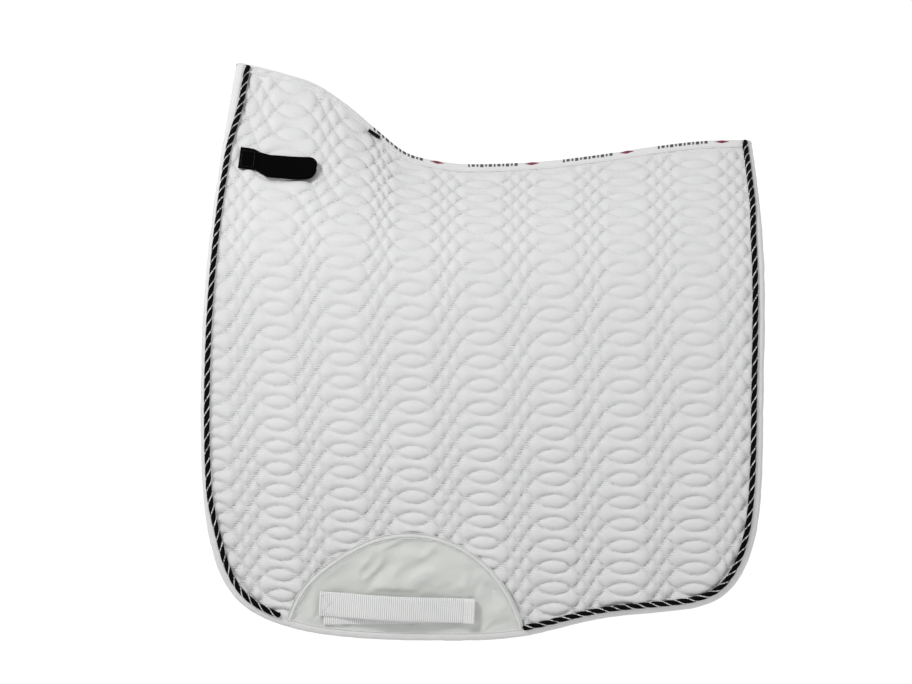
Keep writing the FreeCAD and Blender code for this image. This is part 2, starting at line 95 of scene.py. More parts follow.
# Side-view points, (x, z) in millimetres, that the outlines pass through.
SPINE_POINTS = (
    (-345, 143), (-283, 134.5), (-234, 122.5), (-199, 110.5), (-163, 86.5), (-128, 57),
    (-93, 29.5), (-55, 19), (-16, 15), (73, 18.5), (143, 27), (214, 37.5), (267, 43), (345, 44),
)
EDGE_POINTS = (
    (-290.5, 150), (-306, 53), (-318, -30), (-328.6, -136), (-333.6, -265), (-332.5, -350),
    (-321, -442), (-293.5, -500.5), (-236, -533.5), (-146, -548.5), (-45, -551.5), (49, -546),
    (135.5, -526), (220.5, -516.5), (284, -498), (315, -451), (327, -387), (330.5, -265),
    (331.5, -112), (326.5, -27), (317, 60),
)
PATCH_POINTS = (
    (-243, -560), (-217, -490), (-169, -448), (-128, -428), (-81, -422), (-38, -432), (-2, -454),
    (30, -492), (58, -570),
)
FRONT_CORNER = (-296 * MM, -492 * MM)
REAR_CORNER = (293 * MM, -489 * MM)

# Seats of the fittings: side-view x and z, and the tilt in degrees.
TAB_SEAT = (-264 * MM, 15 * MM, -8.0)
STRAP_SEAT = (-194.5 * MM, -505.5 * MM, -2.8)
LABEL_SEAT = (-137.5 * MM, 53.5 * MM, -44.0)

# Quilting: rows of lenses in columns, between two families of ogee lines.
COLUMN_AT = 83.2 * MM
COLUMN_PITCH = 82.95 * MM
ROW_AT = -165.4 * MM
ROW_PITCH = 28.73 * MM
ROW_CLOSING = 0.15 * MM
OGEE = 1.375
OGEE_THIRD = -0.065
VALLEY_DEPTH = 2.9 * MM
PUFF_RISE = 0.9 * MM
VALLEY_SOFT = 2.0 * MM
QUILT_ACROSS = 264
QUILT_DOWN = 272
EDGE_TRIM = 2.2 * MM

# --- small maths


def smooth_height(points, x):
    """Height at x of the smooth line through points: cubic spans with averaged slopes."""
    px, pz = np.array(points).T * MM
    last = len(points) - 1
    slopes = np.array([
        (pz[min(i + 1, last)] - pz[max(i - 1, 0)]) / (px[min(i + 1, last)] - px[max(i - 1, 0)])
        for i in range(len(points))
    ])
    x = np.asarray(x, float)
    span = np.clip(np.searchsorted(px, x, side="right") - 1, 0, last - 1)
    width = px[span + 1] - px[span]
    t = (x - px[span]) / width
    rise = (2 * t**3 - 3 * t**2 + 1) * pz[span] + (3 * t**2 - 2 * t**3) * pz[span + 1]
    lean = (t**3 - 2 * t**2 + t) * slopes[span] + (t**3 - t**2) * slopes[span + 1]
    return rise + width * lean


def spline(points, count):
    """count points evenly along the natural cubic spline through points, in metres."""
    p = np.array(points, float) * MM
    knots = lengths_along(p)
    gaps = np.diff(knots)
    size = len(p)
    system = np.eye(size)
    pull = np.zeros_like(p)
    for i in range(1, size - 1):
        system[i, i - 1:i + 2] = gaps[i - 1], 2 * (gaps[i - 1] + gaps[i]), gaps[i]
        pull[i] = 6 * ((p[i + 1] - p[i]) / gaps[i] - (p[i] - p[i - 1]) / gaps[i - 1])
    bend = np.linalg.solve(system, pull)
    at = np.linspace(0, knots[-1], size * 60)
    span = np.clip(np.searchsorted(knots, at, side="right") - 1, 0, size - 2)
    gap = gaps[span][:, None]
    a = (knots[span + 1] - at)[:, None]
    b = (at - knots[span])[:, None]
    line = (
        (bend[span] * a**3 + bend[span + 1] * b**3) / (6 * gap)
        + (p[span] / gap - bend[span] * gap / 6) * a
        + (p[span + 1] / gap - bend[span + 1] * gap / 6) * b
    )
    return resample(line, count)


def smooth_curve(points):
    """Catmull-Rom curve through 2-D points."""
    ends = np.concatenate([points[:1], points, points[-1:]])
    pieces = []
    for i in range(len(points) - 1):
        p0, p1, p2, p3 = ends[i:i + 4]
        t = np.linspace(0, 1, 16, endpoint=False)[:, None]
        pieces.append(0.5 * (2 * p1 + (p2 - p0) * t + (2 * p0 - 5 * p1 + 4 * p2 - p3) * t**2
                             + (3 * p1 - p0 - 3 * p2 + p3) * t**3))
    return np.concatenate(pieces + [points[-1:]])


def lengths_along(line):
    steps = np.linalg.norm(np.diff(line, axis=0), axis=1)
    return np.concatenate([[0], np.cumsum(steps)])


def points_at(at, along, line):
    """Points of a line, whose points lie at the lengths along, at other lengths."""
    return np.stack([np.interp(at, along, column) for column in line.T], 1)


def resample(line, count):
    """The line's points again, count of them, evenly spaced."""
    along = lengths_along(line)
    return points_at(np.linspace(0, along[-1], count), along, line)


def unit(v):
    return v / np.linalg.norm(v, axis=-1, keepdims=True)


def tangents(line):
    return unit(np.gradient(line, axis=0))


def beside(line, inset):
    """A side-view line moved to its left by inset."""
    along = tangents(line)
    return line + np.stack([-along[:, 1], along[:, 0]], 1) * np.reshape(inset, (-1, 1))


def hills(seed, x, wide, z, tall=None):
    """Smooth noise from -1 to 1, with hills wide along x and tall along z in millimetres.

    Without tall, z is a place in hills.
    """
    table = np.random.RandomState(seed).uniform(-1, 1, (64, 64))
    x = x / (wide * MM)
    z = z if tall is None else z / (tall * MM)
    x0, z0 = np.floor(x).astype(int), np.floor(z).astype(int)
    fx, fz = x - x0, z - z0
    fx, fz = fx * fx * (3 - 2 * fx), fz * fz * (3 - 2 * fz)

    def at(i, j):
        return table[(x0 + i) % 64, (z0 + j) % 64]

    near = at(0, 0) * (1 - fx) + at(1, 0) * fx
    far = at(0, 1) * (1 - fx) + at(1, 1) * fx
    return near * (1 - fz) + far * fz


def ramp(value, start, end):
    """Smooth step from 0 at start to 1 at end."""
    t = np.clip((value - start) / (end - start), 0, 1)
    return t * t * (3 - 2 * t)


def inside(polygon, x, z):
    """Whether side-view points lie inside a closed polygon."""
    hit = np.zeros(np.shape(x), bool)
    for (ax, az), (bx, bz) in zip(polygon, np.roll(polygon, -1, axis=0)):
        if az != bz:
            hit ^= ((az > z) != (bz > z)) & (x < (bx - ax) * (z - az) / (bz - az) + ax)
    return hit


# --- the draped surface


def shoulder(z):
    return np.logaddexp(0, (z - SHOULDER_HEIGHT) / SHOULDER_ROUND)


def roof_level(z):
    """How far the roof's slope has set in at a height, from 0 to 1."""
    return 1 / (1 + np.exp((SHOULDER_HEIGHT - z) / SHOULDER_ROUND))


def crown(x):
    return smooth_height(SPINE_POINTS, x) - CROWN_DROP


def roof_slope(x):
    span = shoulder(crown(x)) - shoulder(FOLD_HEIGHT)
    return HALF_WIDTH / (span * SHOULDER_ROUND)


def roof(x, z):
    """Sideways place of the left skin above the fold."""
    top = shoulder(crown(x))
    return -HALF_WIDTH * (top - shoulder(z)) / (top - shoulder(FOLD_HEIGHT))


def skin(x, z):
    """Points of the left outer skin at side-view x and z, and their outward directions."""
    x, z = np.broadcast_arrays(np.asarray(x, float), np.asarray(z, float))
    arch = roof(x, z)
    below = (FOLD_HEIGHT - z) / FLAP_REACH
    above = z >= FOLD_HEIGHT
    y = np.where(above, arch, -HALF_WIDTH + SIDE_TUCK * below**2)
    rise = np.where(above, roof_slope(x) * roof_level(z), -2 * SIDE_TUCK * below / FLAP_REACH)
    step = 0.5 * MM
    lean = np.where(above, (roof(x + step, z) - arch) / step, 0)
    out = unit(np.stack([lean, -np.ones_like(y), rise], -1))
    return np.stack([x, y, z], -1), out


def on_skin(x, z, lift):
    point, out = skin(x, z)
    return point + out * np.asarray(lift)[..., None]


def seat_axes(seat):
    """Point, rearward, upward and outward directions of a fitting's seat on the left skin."""
    x, z, tilt = seat
    step = 0.5 * MM
    here = on_skin(x, z, 0)
    rear = on_skin(x + step, z, 0) - here
    up = on_skin(x, z + step, 0) - here
    out = unit(np.cross(rear, up))
    up = unit(np.cross(out, unit(rear)))
    rear, up = turned(np.cross(up, out), up, math.radians(tilt))
    return here, rear, up, out


def turned(rear, up, turn):
    """Two directions turned in their plane, from rear towards up."""
    return (rear * math.cos(turn) + up * math.sin(turn),
            up * math.cos(turn) - rear * math.sin(turn))


# --- meshes


def mesh_piece(name, verts, faces, materials, side=1, groups=None, smooth=True):
    """A mesh object; side -1 turns a left piece into its right twin."""
    verts = np.array(verts, float)
    faces = [list(face) for face in faces]
    if side < 0:
        verts[:, 1] *= -1
        faces = [face[::-1] for face in faces]
    mesh = bpy.data.meshes.new(name)
    mesh.from_pydata(verts.tolist(), [], faces)
    for material in materials:
        mesh.materials.append(material)
    if groups is not None:
        mesh.polygons.foreach_set("material_index", np.array(groups, np.int32))
    mesh.polygons.foreach_set("use_smooth", np.full(len(faces), smooth))
    mesh.update()
    piece = bpy.data.objects.new(name, mesh)
    bpy.context.scene.collection.objects.link(piece)
    return piece


def add_piece(name, shape, looks, slot, home, stands_for=(), values=(), **more):
    """A piece made of (verts, faces).  looks names its materials.

    home is the body that it rides on.  A piece whose home is two bodies and the left side's places
    of a bend is left where it is, on no body.
    materials read at each vertex.
    """
    side = -1 if name.startswith("right_") else 1
    piece = mesh_piece(name, *shape, [MATERIALS[look] for look in looks.split()], side, **more)
    for attribute, numbers in values:
        piece.data.attributes.new(attribute, "FLOAT", "POINT").data.foreach_set(
            "value", np.asarray(numbers, np.float32))
    if stands_for:
        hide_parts(*stands_for)
    if isinstance(home, str):
        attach(piece, home)
    else:
        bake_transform(piece)
    return piece


def across_fold(word):
    """The home given to a piece that spans the flap's fold: the arch and flap bodies and places
    above and below the fold.
    """
    return ("back_arch", f"{word}_flap", (0, -HALF_WIDTH, FOLD_HEIGHT + FOLD_BLEND),
            (0, -HALF_WIDTH, FOLD_HEIGHT - FOLD_BLEND))


def across_hinge(axes, places, lift, parent, child):
    """The home given to a fitting that spans a hinge: two bodies and two places along its seat."""
    here, rear, _, out = axes
    return (parent, child, *[here + rear * at + out * lift for at in places])


def tube(rings):
    """Vertices and faces of a closed skin over rings of points, (stations, ring points, 3)."""
    stations, size = rings.shape[:2]
    i = np.arange(stations - 1)[:, None] * size
    j = np.arange(size)[None, :]
    k = (j + 1) % size
    faces = np.stack([i + j, i + k, i + size + k, i + size + j], -1).reshape(-1, 4).tolist()
    faces.append(list(range(size))[::-1])
    faces.append([(stations - 1) * size + n for n in range(size)])
    return rings.reshape(-1, 3), faces


def grid_quads(rows, columns, base=0):
    """Faces of a grid of points that are numbered from base."""
    i = np.arange(rows - 1)[:, None] * columns + np.arange(columns - 1)[None, :] + base
    return np.stack([i, i + 1, i + columns + 1, i + columns], -1).reshape(-1, 4)


def grid_rim(rows, columns, base=0):
    """Numbers of the points round a grid."""
    down, across = range(rows - 1), range(columns - 1)
    rim = [i * columns for i in down] + [(rows - 1) * columns + j for j in across]
    rim += [(i + 2) * columns - 1 for i in down[::-1]] + [j + 1 for j in across[::-1]]
    return [base + n for n in rim]


def joined(parts):
    """Several (verts, faces) as one."""
    verts, faces, base = [], [], 0
    for some, more in parts:
        verts.append(some)
        faces += [[n + base for n in face] for face in more]
        base += len(some)
    return np.concatenate(verts), faces


def strip_rings(centres, sideways, out, section):
    """Rings of a section, (n, 2) or (stations, n, 2) of sideways and outward offsets."""
    section = np.broadcast_to(section, (len(centres),) + np.shape(section)[-2:])
    sideways, out = np.broadcast_to(sideways, centres.shape), np.broadcast_to(out, centres.shape)
    return (centres[:, None] + sideways[:, None] * section[..., :1]
            + out[:, None] * section[..., 1:])


def flat_section(width, thick, edge=4, across=6):
    """Closed outline of a flat tape with rounded edges, centred on zero."""
    radius = thick / 2
    turn = np.linspace(-np.pi / 2, np.pi / 2, edge + 1)
    right = np.stack([width / 2 - radius + radius * np.cos(turn), radius * np.sin(turn)], 1)
    top = np.stack([np.linspace(width / 2 - radius, radius - width / 2, across)[1:-1],
                    np.full(across - 2, radius)], 1)
    return np.concatenate([right, top, -right, -top])


def beads(points, along, out, length, radius):
    """Short tapered three-sided stitches lying along their line."""
    across = unit(np.cross(out, along))
    parts = [points - along * (length / 2)]
    for share in (-0.32, 0.32):
        for turn in (0, 2.0944, 4.1888):
            ring = out * math.cos(turn) + across * math.sin(turn)
            parts.append(points + along * length * share + ring * radius)
    parts.append(points + along * length / 2)
    verts = np.stack(parts, 1).reshape(-1, 3)
    pattern = [(0, 2, 1), (0, 3, 2), (0, 1, 3), (1, 2, 5), (1, 5, 4), (2, 3, 6), (2, 6, 5),
               (3, 1, 4), (3, 4, 6), (4, 5, 7), (5, 6, 7), (6, 4, 7)]
    base = (np.arange(len(points)) * 8)[:, None, None]
    faces = (np.array(pattern)[None] + base).reshape(-1, 3)
    return verts, faces.tolist()


def stitches_on(line, out, pitch, length, radius):
    """Beads along a 3-D line whose outward directions are given; sizes in millimetres."""
    pitch, length, radius = pitch * MM, length * MM, radius * MM
    along = lengths_along(line)
    count = max(int(along[-1] / pitch), 2)
    at = (np.arange(count) + 0.5) * along[-1] / count
    ahead, behind = [points_at(at + shift, along, line) for shift in (length / 3, -length / 3)]
    outs = unit(points_at(at, along, np.broadcast_to(out, line.shape)))
    return beads(points_at(at, along, line), unit(ahead - behind), outs, length, radius)


def stitch_runs(axes, runs, lift, pitch, length, radius):
    """Straight runs of stitches on a fitting's seat, each between two points in millimetres."""
    here, rear, up, out = axes
    rows = []
    for run in runs:
        flat = np.array(run) * MM
        line = resample(here + rear * flat[:, :1] + up * flat[:, 1:] + out * lift, 60)
        rows.append(stitches_on(line, out, pitch, length, radius))
    return joined(rows)


# --- materials


class Tree:
    """A node tree, with short ways to add and link nodes."""

    def __init__(self, tree):
        self.tree = tree

    def add(self, kind, **settings):
        node = self.tree.nodes.new(kind)
        for key, value in settings.items():
            setattr(node, key, value)
        return node

    def link(self, value, socket):
        if isinstance(value, bpy.types.NodeSocket):
            self.tree.links.new(value, socket)
        else:
            socket.default_value = value

    def fill(self, node, values):
        for name, value in values.items():
            self.link(value, node.inputs[name])

    def feed(self, node, *values):
        """Fill a node's first sockets in order, and return its first output."""
        for value, socket in zip(values, node.inputs):
            self.link(value, socket)
        return node.outputs[0]

    def math(self, operation, *values):
        return self.feed(self.add("ShaderNodeMath", operation=operation), *values)

    def span(self, value, low, high, start, end, kind="SMOOTHSTEP"):
        """start below low, end above high, and a smooth step between."""
        return self.feed(self.add("ShaderNodeMapRange", interpolation_type=kind),
                         value, low, high, start, end)


class Nodes(Tree):
    """A material's node tree.  Bumps are (height, strength, distance in millimetres)."""

    def __init__(self, name):
        self.material = bpy.data.materials.new(name)
        self.material.use_nodes = True
        super().__init__(self.material.node_tree)
        self.shader = self.tree.nodes["Principled BSDF"]
        self.place = self.add("ShaderNodeTexCoord").outputs["Object"]

    def texture(self, kind, settings, **sockets):
        node = self.add(kind, **settings)
        self.link(self.place, node.inputs["Vector"])
        for name, value in sockets.items():
            node.inputs[name.replace("_", " ")].default_value = value
        return node.outputs

    def noise(self, scale, detail=2.0, rough=0.5):
        return self.texture("ShaderNodeTexNoise", {}, Scale=scale, Detail=detail,
                            Roughness=rough)["Fac"]

    def wave(self, scale, direction="X", distortion=0.0):
        return self.texture("ShaderNodeTexWave", {"bands_direction": direction}, Scale=scale,
                            Distortion=distortion, Detail_Scale=1.5)["Fac"]

    def weave(self, scale):
        """A plain weave seen from the side: two sets of threads, crossing."""
        return self.math("MULTIPLY", self.wave(scale, "X", 0.6), self.wave(scale, "Z", 0.6))

    def attribute(self, name):
        return self.add("ShaderNodeAttribute", attribute_name=name).outputs["Fac"]

    def finish(self, factor, low, high, rough, bumps=(), rough_factor=None,
               sheen=0.0, sheen_rough=0.4, specular=0.3, metallic=0.0):
        """Colour from low to high and roughness over rough by factor, bumps and gloss."""
        node = self.add("ShaderNodeMix", data_type="RGBA")
        for value, socket in ((factor, 0), ((*low, 1), 6), ((*high, 1), 7)):
            self.link(value, node.inputs[socket])
        rough_factor = factor if rough_factor is None else rough_factor
        sockets = {"Base Color": node.outputs[2],
                   "Roughness": self.span(rough_factor, 0, 1, *rough, "LINEAR"),
                   "Sheen Weight": sheen, "Sheen Roughness": sheen_rough,
                   "Specular IOR Level": specular, "Metallic": metallic}
        normal = None
        for height, strength, distance in bumps:
            node = self.add("ShaderNodeBump")
            parts = {"Strength": strength, "Distance": distance * MM, "Height": height}
            if normal is not None:
                parts["Normal"] = normal
            self.fill(node, parts)
            normal = sockets["Normal"] = node.outputs["Normal"]
        self.fill(self.shader, sockets)
        return self.material


def seam_gap(n):
    """Distances, in rows, to the nearest quilting line and to the nearest that rises rearward,
    and how the lines lean there."""
    rows = n.attribute("quilt_row")
    angle = n.math("MULTIPLY", n.attribute("quilt_column"), math.pi)
    swing = n.math("ADD", n.math("MULTIPLY", n.math("COSINE", angle), OGEE),
                   n.math("MULTIPLY", n.math("COSINE", n.math("MULTIPLY", angle, 3)), OGEE_THIRD))
    lines = []
    for operation in ("SUBTRACT", "ADD"):
        phase = n.math(operation, rows, swing)
        lines.append(n.math("ABSOLUTE", n.math("SUBTRACT", phase, n.math("ROUND", phase))))
    lean = n.math("SINE", angle)
    rising = n.span(lean, -0.1, 0.1, lines[1], lines[0])
    return n.math("MINIMUM", *lines), rising, lean


def quilt_cotton():
    """White cotton face: fine weave and the puckers that the lock stitch draws into it."""
    n = Nodes("quilt_cotton")
    nearest, rising, lean = seam_gap(n)
    groove = n.span(nearest, 0, 0.085, 0, 1)
    beside_seam = n.math("MAXIMUM", n.span(rising, 0.03, 0.36, 1, 0),
                         n.span(nearest, 0.03, 0.3, 0.3, 0))
    steep = n.span(n.math("ABSOLUTE", lean), 0.25, 0.9, 0.15, 1)
    broken = n.span(n.noise(150, 2, 0.5), 0.3, 0.6, 0.35, 1)
    drawn = n.math("MULTIPLY", n.math("MULTIPLY", beside_seam, steep), broken)
    streaks = n.math("MULTIPLY", n.wave(118, "Z", 4.0), drawn)
    small = n.math("MULTIPLY", n.noise(330, 2, 0.6), n.span(nearest, 0.0, 0.3, 1, 0.3))
    bumps = [(groove, 0.3, 0.7), (streaks, 0.9, 0.85), (small, 0.6, 0.9),
             (n.weave(1500), 0.12, 0.12)]
    return n.finish(n.noise(9, 3, 0.6), (0.815, 0.815, 0.818), (0.765, 0.766, 0.77),
                    (0.82, 0.94), bumps, sheen=0.06, specular=0.15)


def lining_cloth():
    """Plain cloth of the inner side, drawn in along the same quilting lines."""
    n = Nodes("lining_cloth")
    groove = n.span(seam_gap(n)[0], 0, 0.3, 0, 1)
    bumps = [(groove, 0.9, 2.4), (n.noise(160, 3, 0.6), 0.35, 0.6), (n.weave(900), 0.25, 0.2)]
    return n.finish(n.noise(14, 3, 0.6), (0.80, 0.805, 0.80), (0.71, 0.715, 0.715),
                    (0.85, 0.95), bumps, sheen=0.05, specular=0.15)


def wear_cloth():
    """Smooth, slightly coated cloth of the girth patch."""
    n = Nodes("wear_cloth")
    bumps = [(n.noise(95, 2, 0.5), 0.25, 0.7), (n.weave(2200), 0.10, 0.08)]
    return n.finish(n.noise(22, 3, 0.55), (0.745, 0.762, 0.73), (0.69, 0.705, 0.68),
                    (0.5, 0.62), bumps, sheen=0.03, specular=0.25)


def satin_tape(name, light, dark):
    """Folded binding tape: satin weave, a little sheen, small pulls across it."""
    n = Nodes(name)
    drawn = n.noise(70, 3, 0.6)
    bumps = [(drawn, 0.45, 1.2), (n.noise(300, 2, 0.6), 0.4, 0.5),
             (n.wave(2600, "DIAGONAL", 0.4), 0.16, 0.08)]
    return n.finish(drawn, light, dark, (0.5, 0.66), bumps, sheen=0.04, sheen_rough=0.3,
                    specular=0.35)


def sewing_thread(name, dark, light):
    n = Nodes(name)
    ply = n.wave(2400, "DIAGONAL", 1.0)
    return n.finish(ply, dark, light, (0.5, 0.7), [(ply, 0.4, 0.12)], sheen=0.2, specular=0.4)


def cord_yarn():
    """Black twisted cord with fine plies and a soft halo."""
    n = Nodes("cord_yarn")
    fibre = n.noise(1900, 3, 0.7)
    dusty = n.math("MULTIPLY", fibre, n.noise(260, 2, 0.5))
    return n.finish(dusty, (0.0012, 0.0012, 0.0014), (0.006, 0.006, 0.0065), (0.6, 0.85),
                    [(fibre, 0.5, 0.35)], fibre, sheen=0.01, specular=0.06)


def silver_yarn():
    """Metallised yarn: bright with dark breaks between the wraps."""
    n = Nodes("silver_yarn")
    wraps = n.math("MULTIPLY", n.span(n.noise(1500, 2, 0.6), 0.3, 0.6, 0.5, 1),
                   n.span(n.noise(380, 2, 0.6), 0.36, 0.56, 0.12, 1))
    return n.finish(wraps, (0.03, 0.03, 0.031), (0.97, 0.97, 0.98), (0.25, 0.5),
                    [(wraps, 0.6, 0.3)], specular=0.6, metallic=0.3)


def white_webbing():
    """Webbing, with painted shade darkening the grooves between its ribs."""
    n = Nodes("white_webbing")
    weft = n.wave(1700, "Z", 0.3)
    # The low colour is painted shade in the rib grooves, mixed in by the rib attribute.
    return n.finish(n.attribute("rib"), (0.5, 0.51, 0.505), (0.94, 0.945, 0.94), (0.55, 0.75),
                    [(weft, 0.3, 0.15), (n.noise(600, 2, 0.6), 0.25, 0.15)], weft,
                    sheen=0.05, specular=0.2)


def black_webbing():
    n = Nodes("black_webbing")
    lint = n.noise(420, 3, 0.7)
    return n.finish(lint, (0.0006, 0.0006, 0.0006), (0.003, 0.003, 0.0032), (0.8, 0.95),
                    [(n.wave(900, "Z", 0.5), 0.35, 0.2), (lint, 0.4, 0.2)], specular=0.03)


def fastener(name, low, high, specular):
    """Hook and loop tape: a bed of tiny hooks or loops."""
    n = Nodes(name)
    pile = n.noise(1300, 3, 0.75)
    cells = n.texture("ShaderNodeTexVoronoi", {}, Scale=900)["Distance"]
    return n.finish(pile, low, high, (0.7, 0.95), [(cells, 0.8, 0.5), (pile, 0.6, 0.4)],
                    sheen=0.02, specular=specular)


def woven(name, low, high, wave, depth, **surface):
    """Woven label or motif: its picks show as fine lines."""
    n = Nodes(name)
    picks = n.wave(*wave)
    return n.finish(picks, low, high, (0.5, 0.7), [(picks, depth, 0.1)], **surface)


def make_materials():
    raised = {"wave": (2600, "X", 0.4), "depth": 0.35, "sheen": 0.1, "specular": 0.35}
    return {
        "quilt": quilt_cotton(),
        "lining": lining_cloth(),
        "patch": wear_cloth(),
        "binding": satin_tape("satin_tape", (0.84, 0.842, 0.835), (0.76, 0.763, 0.755)),
        "spine": satin_tape("spine_tape", (0.84, 0.842, 0.84), (0.78, 0.783, 0.78)),
        "patch_tape": satin_tape("patch_tape", (0.81, 0.818, 0.80), (0.72, 0.73, 0.71)),
        "thread": sewing_thread("sewing_thread", (0.66, 0.67, 0.68), (0.84, 0.845, 0.85)),
        "black_thread": sewing_thread("black_thread", (0.006, 0.006, 0.007),
                                      (0.02, 0.02, 0.022)),
        "cord": cord_yarn(),
        "silver": silver_yarn(),
        "webbing": white_webbing(),
        "black": black_webbing(),
        "white_fastener": fastener("white_hook_loop", (0.62, 0.63, 0.62), (0.78, 0.785, 0.78),
                                   0.25),
        "black_fastener": fastener("black_hook_loop", (0.001, 0.001, 0.001),
                                   (0.006, 0.006, 0.006), 0.05),
        "label": woven("woven_label", (0.002, 0.002, 0.002), (0.008, 0.008, 0.009),
                       (2000, "DIAGONAL", 0.3), 0.3, specular=0.06),
        "dash": woven("grey_motif", (0.04, 0.042, 0.046), (0.11, 0.113, 0.12), **raised),
        "diamond": woven("red_motif", (0.17, 0.018, 0.045), (0.30, 0.05, 0.085), **raised),
    }


# --- quilting pattern


def cloth_above(x, z):
    """Length of cloth along the section at x, from the first row on the flap up to z."""
    slope = roof_slope(x)
    half = (z - ROW_AT) / 2
    total = np.zeros_like(z)
    for node, weight in zip(*np.polynomial.legendre.leggauss(24)):
        level = roof_level(ROW_AT + half * (1 + node))
        total += weight * np.sqrt(1 + (slope * level)**2)
    return total * half


def drift(x, z):
    """How far the quilting wanders from even columns and rows: rearward and upward."""
    t = np.clip((x + 105 * MM) / MM, -165, 450)
    rearward = -3.5 + np.where(t > 0, 0.0125 * t + 2.9e-5 * t**2, 2.3e-4 * t**2)
    top = ramp(z, -207 * MM, -65 * MM)
    foot = ramp(x, 60 * MM, 230 * MM) * ramp(-z, 260 * MM, 420 * MM)
    upward = -0.022 * (x / MM - 10) * top - 2.0 * foot
    middle = -225 * MM - x
    withers = ramp(z, middle - 50 * MM, middle + 50 * MM) * (1 - ramp(x, -175 * MM, -90 * MM))
    rearward = rearward + 24 * withers
    above = np.clip(z / MM - 20, 0, 100)
    stretch = 0.1 * above + 0.0009 * above**2
    upward = upward + stretch * (1 - ramp(x, -200 * MM, -120 * MM))
    return rearward * MM, upward * MM


def pattern_place(x, z):
    """Row and column of the quilting at side-view points; lens centres are whole numbers."""
    rearward, upward = drift(x, z)
    x, z = x - rearward, z - upward
    depth = np.clip(ROW_AT - z, 0, None)
    close = 2 * ROW_CLOSING
    below = (ROW_PITCH - np.sqrt(np.clip(ROW_PITCH**2 - 2 * close * depth, 1e-9, None))) / close
    row = np.where(z >= ROW_AT, -cloth_above(x, np.maximum(z, ROW_AT)) / ROW_PITCH, below)
    forward = np.clip((COLUMN_AT - x) / (327 * MM), 0, 1.3)
    row = row * (1 + 0.037 * forward) + 0.21 * forward**2
    lower = np.clip((-88.5 * MM - z) / (401 * MM), 0, 1.2)
    column = (x - COLUMN_AT) / (COLUMN_PITCH * (1 - 0.026 * lower))
    return row, column


def swing_at(column):
    return OGEE * np.cos(np.pi * column) + OGEE_THIRD * np.cos(3 * np.pi * column)


def relief(x, z):
    """Height of the padded face over the skin, with its valleys along the quilting lines."""
    row, column = pattern_place(x, z)
    swing = swing_at(column)
    lean = -np.pi * (OGEE * np.sin(np.pi * column) + 3 * OGEE_THIRD * np.sin(3 * np.pi * column))
    steep = np.sqrt((lean / COLUMN_PITCH)**2 + (1 / ROW_PITCH)**2)
    puff = np.ones_like(row)
    nearest = np.full_like(row, 1.0)
    for phase in (row - swing, row + swing):
        gap = np.abs(phase - np.round(phase)) / steep
        puff *= 1 - np.exp(-gap**2 / (VALLEY_SOFT**2 + VALLEY_SOFT * gap))
        nearest = np.minimum(nearest, gap)
    height = -VALLEY_DEPTH + (VALLEY_DEPTH + PUFF_RISE) * puff**0.85
    height = height * (1.06 + 0.28 * ramp(-z, 130 * MM, 400 * MM))
    uneven = hills(3, x, 46, z, 38)
    small = hills(5, x, 9, z, 7) * np.exp(-nearest / (5 * MM))
    return height + 0.35 * MM * uneven + 0.3 * MM * small, row, column


# --- outlines

EDGE = spline(EDGE_POINTS, 1600)
PATCH_ARCH = spline(PATCH_POINTS, 600)


def clipped_edge(inset):
    """The edge line, inset, between its two meetings with the ridge."""
    line = beside(EDGE, inset)
    line = line[line[:, 1] < crown(line[:, 0])]
    ends = [np.array([[p[0], crown(p[0])]]) for p in (line[0], line[-1])]
    return np.concatenate([ends[0], line, ends[1]])


def foot_height(x, inset):
    """Height of the foot's edge, inset, at side-view places."""
    line = beside(EDGE, inset)
    line = line[line[:, 1] < -480 * MM]
    return np.interp(x, *line[np.argsort(line[:, 0])].T)


def under_arch(x, z, inset):
    return inside(beside(PATCH_ARCH, -inset), x, z)


def cord_inset(x, z):
    """Distance of the cord from the outline: closer along the front and at the rear top."""
    front = ramp(-x, 150 * MM, 280 * MM) * ramp(z, -440 * MM, -370 * MM)
    front_top = ramp(-x, 150 * MM, 250 * MM) * ramp(z, 25 * MM, 95 * MM)
    rear_top = ramp(x, 150 * MM, 250 * MM) * ramp(z, -80 * MM, -25 * MM)
    return CORD_INSET - 4.0 * MM * front + 5.8 * MM * front_top - 2.8 * MM * rear_top


def tape_drop(x):
    """How far the outer spine tape reaches down each side: less over the withers."""
    return SPINE_TAPE_DROP - 6.3 * MM * (1 - ramp(x, -190 * MM, -70 * MM))


# --- quilt


def even_over_cloth(line, count):
    """Points of a side-view line, evenly spaced over the draped cloth."""
    along = lengths_along(on_skin(line[:, 0], line[:, 1], 0))
    return points_at(np.linspace(0, along[-1], count), along, line)


def panel_grid():
    """Side-view points of a grid that follows the whole outline of one panel.

    Also gives their rough distance to the outline, leaving out the spine.
    """
    across, down = QUILT_ACROSS, QUILT_DOWN
    line = clipped_edge(EDGE_TRIM)
    front_corner, rear_corner = [
        np.argmin(np.linalg.norm(line - corner, axis=1)) for corner in (FRONT_CORNER, REAR_CORNER)]
    front = even_over_cloth(line[:front_corner + 1], down + 1)
    foot = resample(line[front_corner:rear_corner + 1], across + 1)
    rear = even_over_cloth(line[rear_corner:][::-1], down + 1)
    top_x = np.linspace(front[0, 0], rear[0, 0], across + 1)
    top = np.stack([top_x, crown(top_x)], 1)
    u = np.linspace(0, 1, across + 1)[:, None, None]
    v = np.linspace(0, 1, down + 1)[None, :, None]
    grid = (
        (1 - v) * top[:, None] + v * foot[:, None] + (1 - u) * front[None] + u * rear[None]
        - (1 - u) * (1 - v) * top[0] - u * (1 - v) * top[-1]
        - (1 - u) * v * foot[0] - u * v * foot[-1]
    )
    return grid, np.minimum(np.minimum(u, 1 - u) * 655 * MM, (1 - v) * 640 * MM)[..., 0]


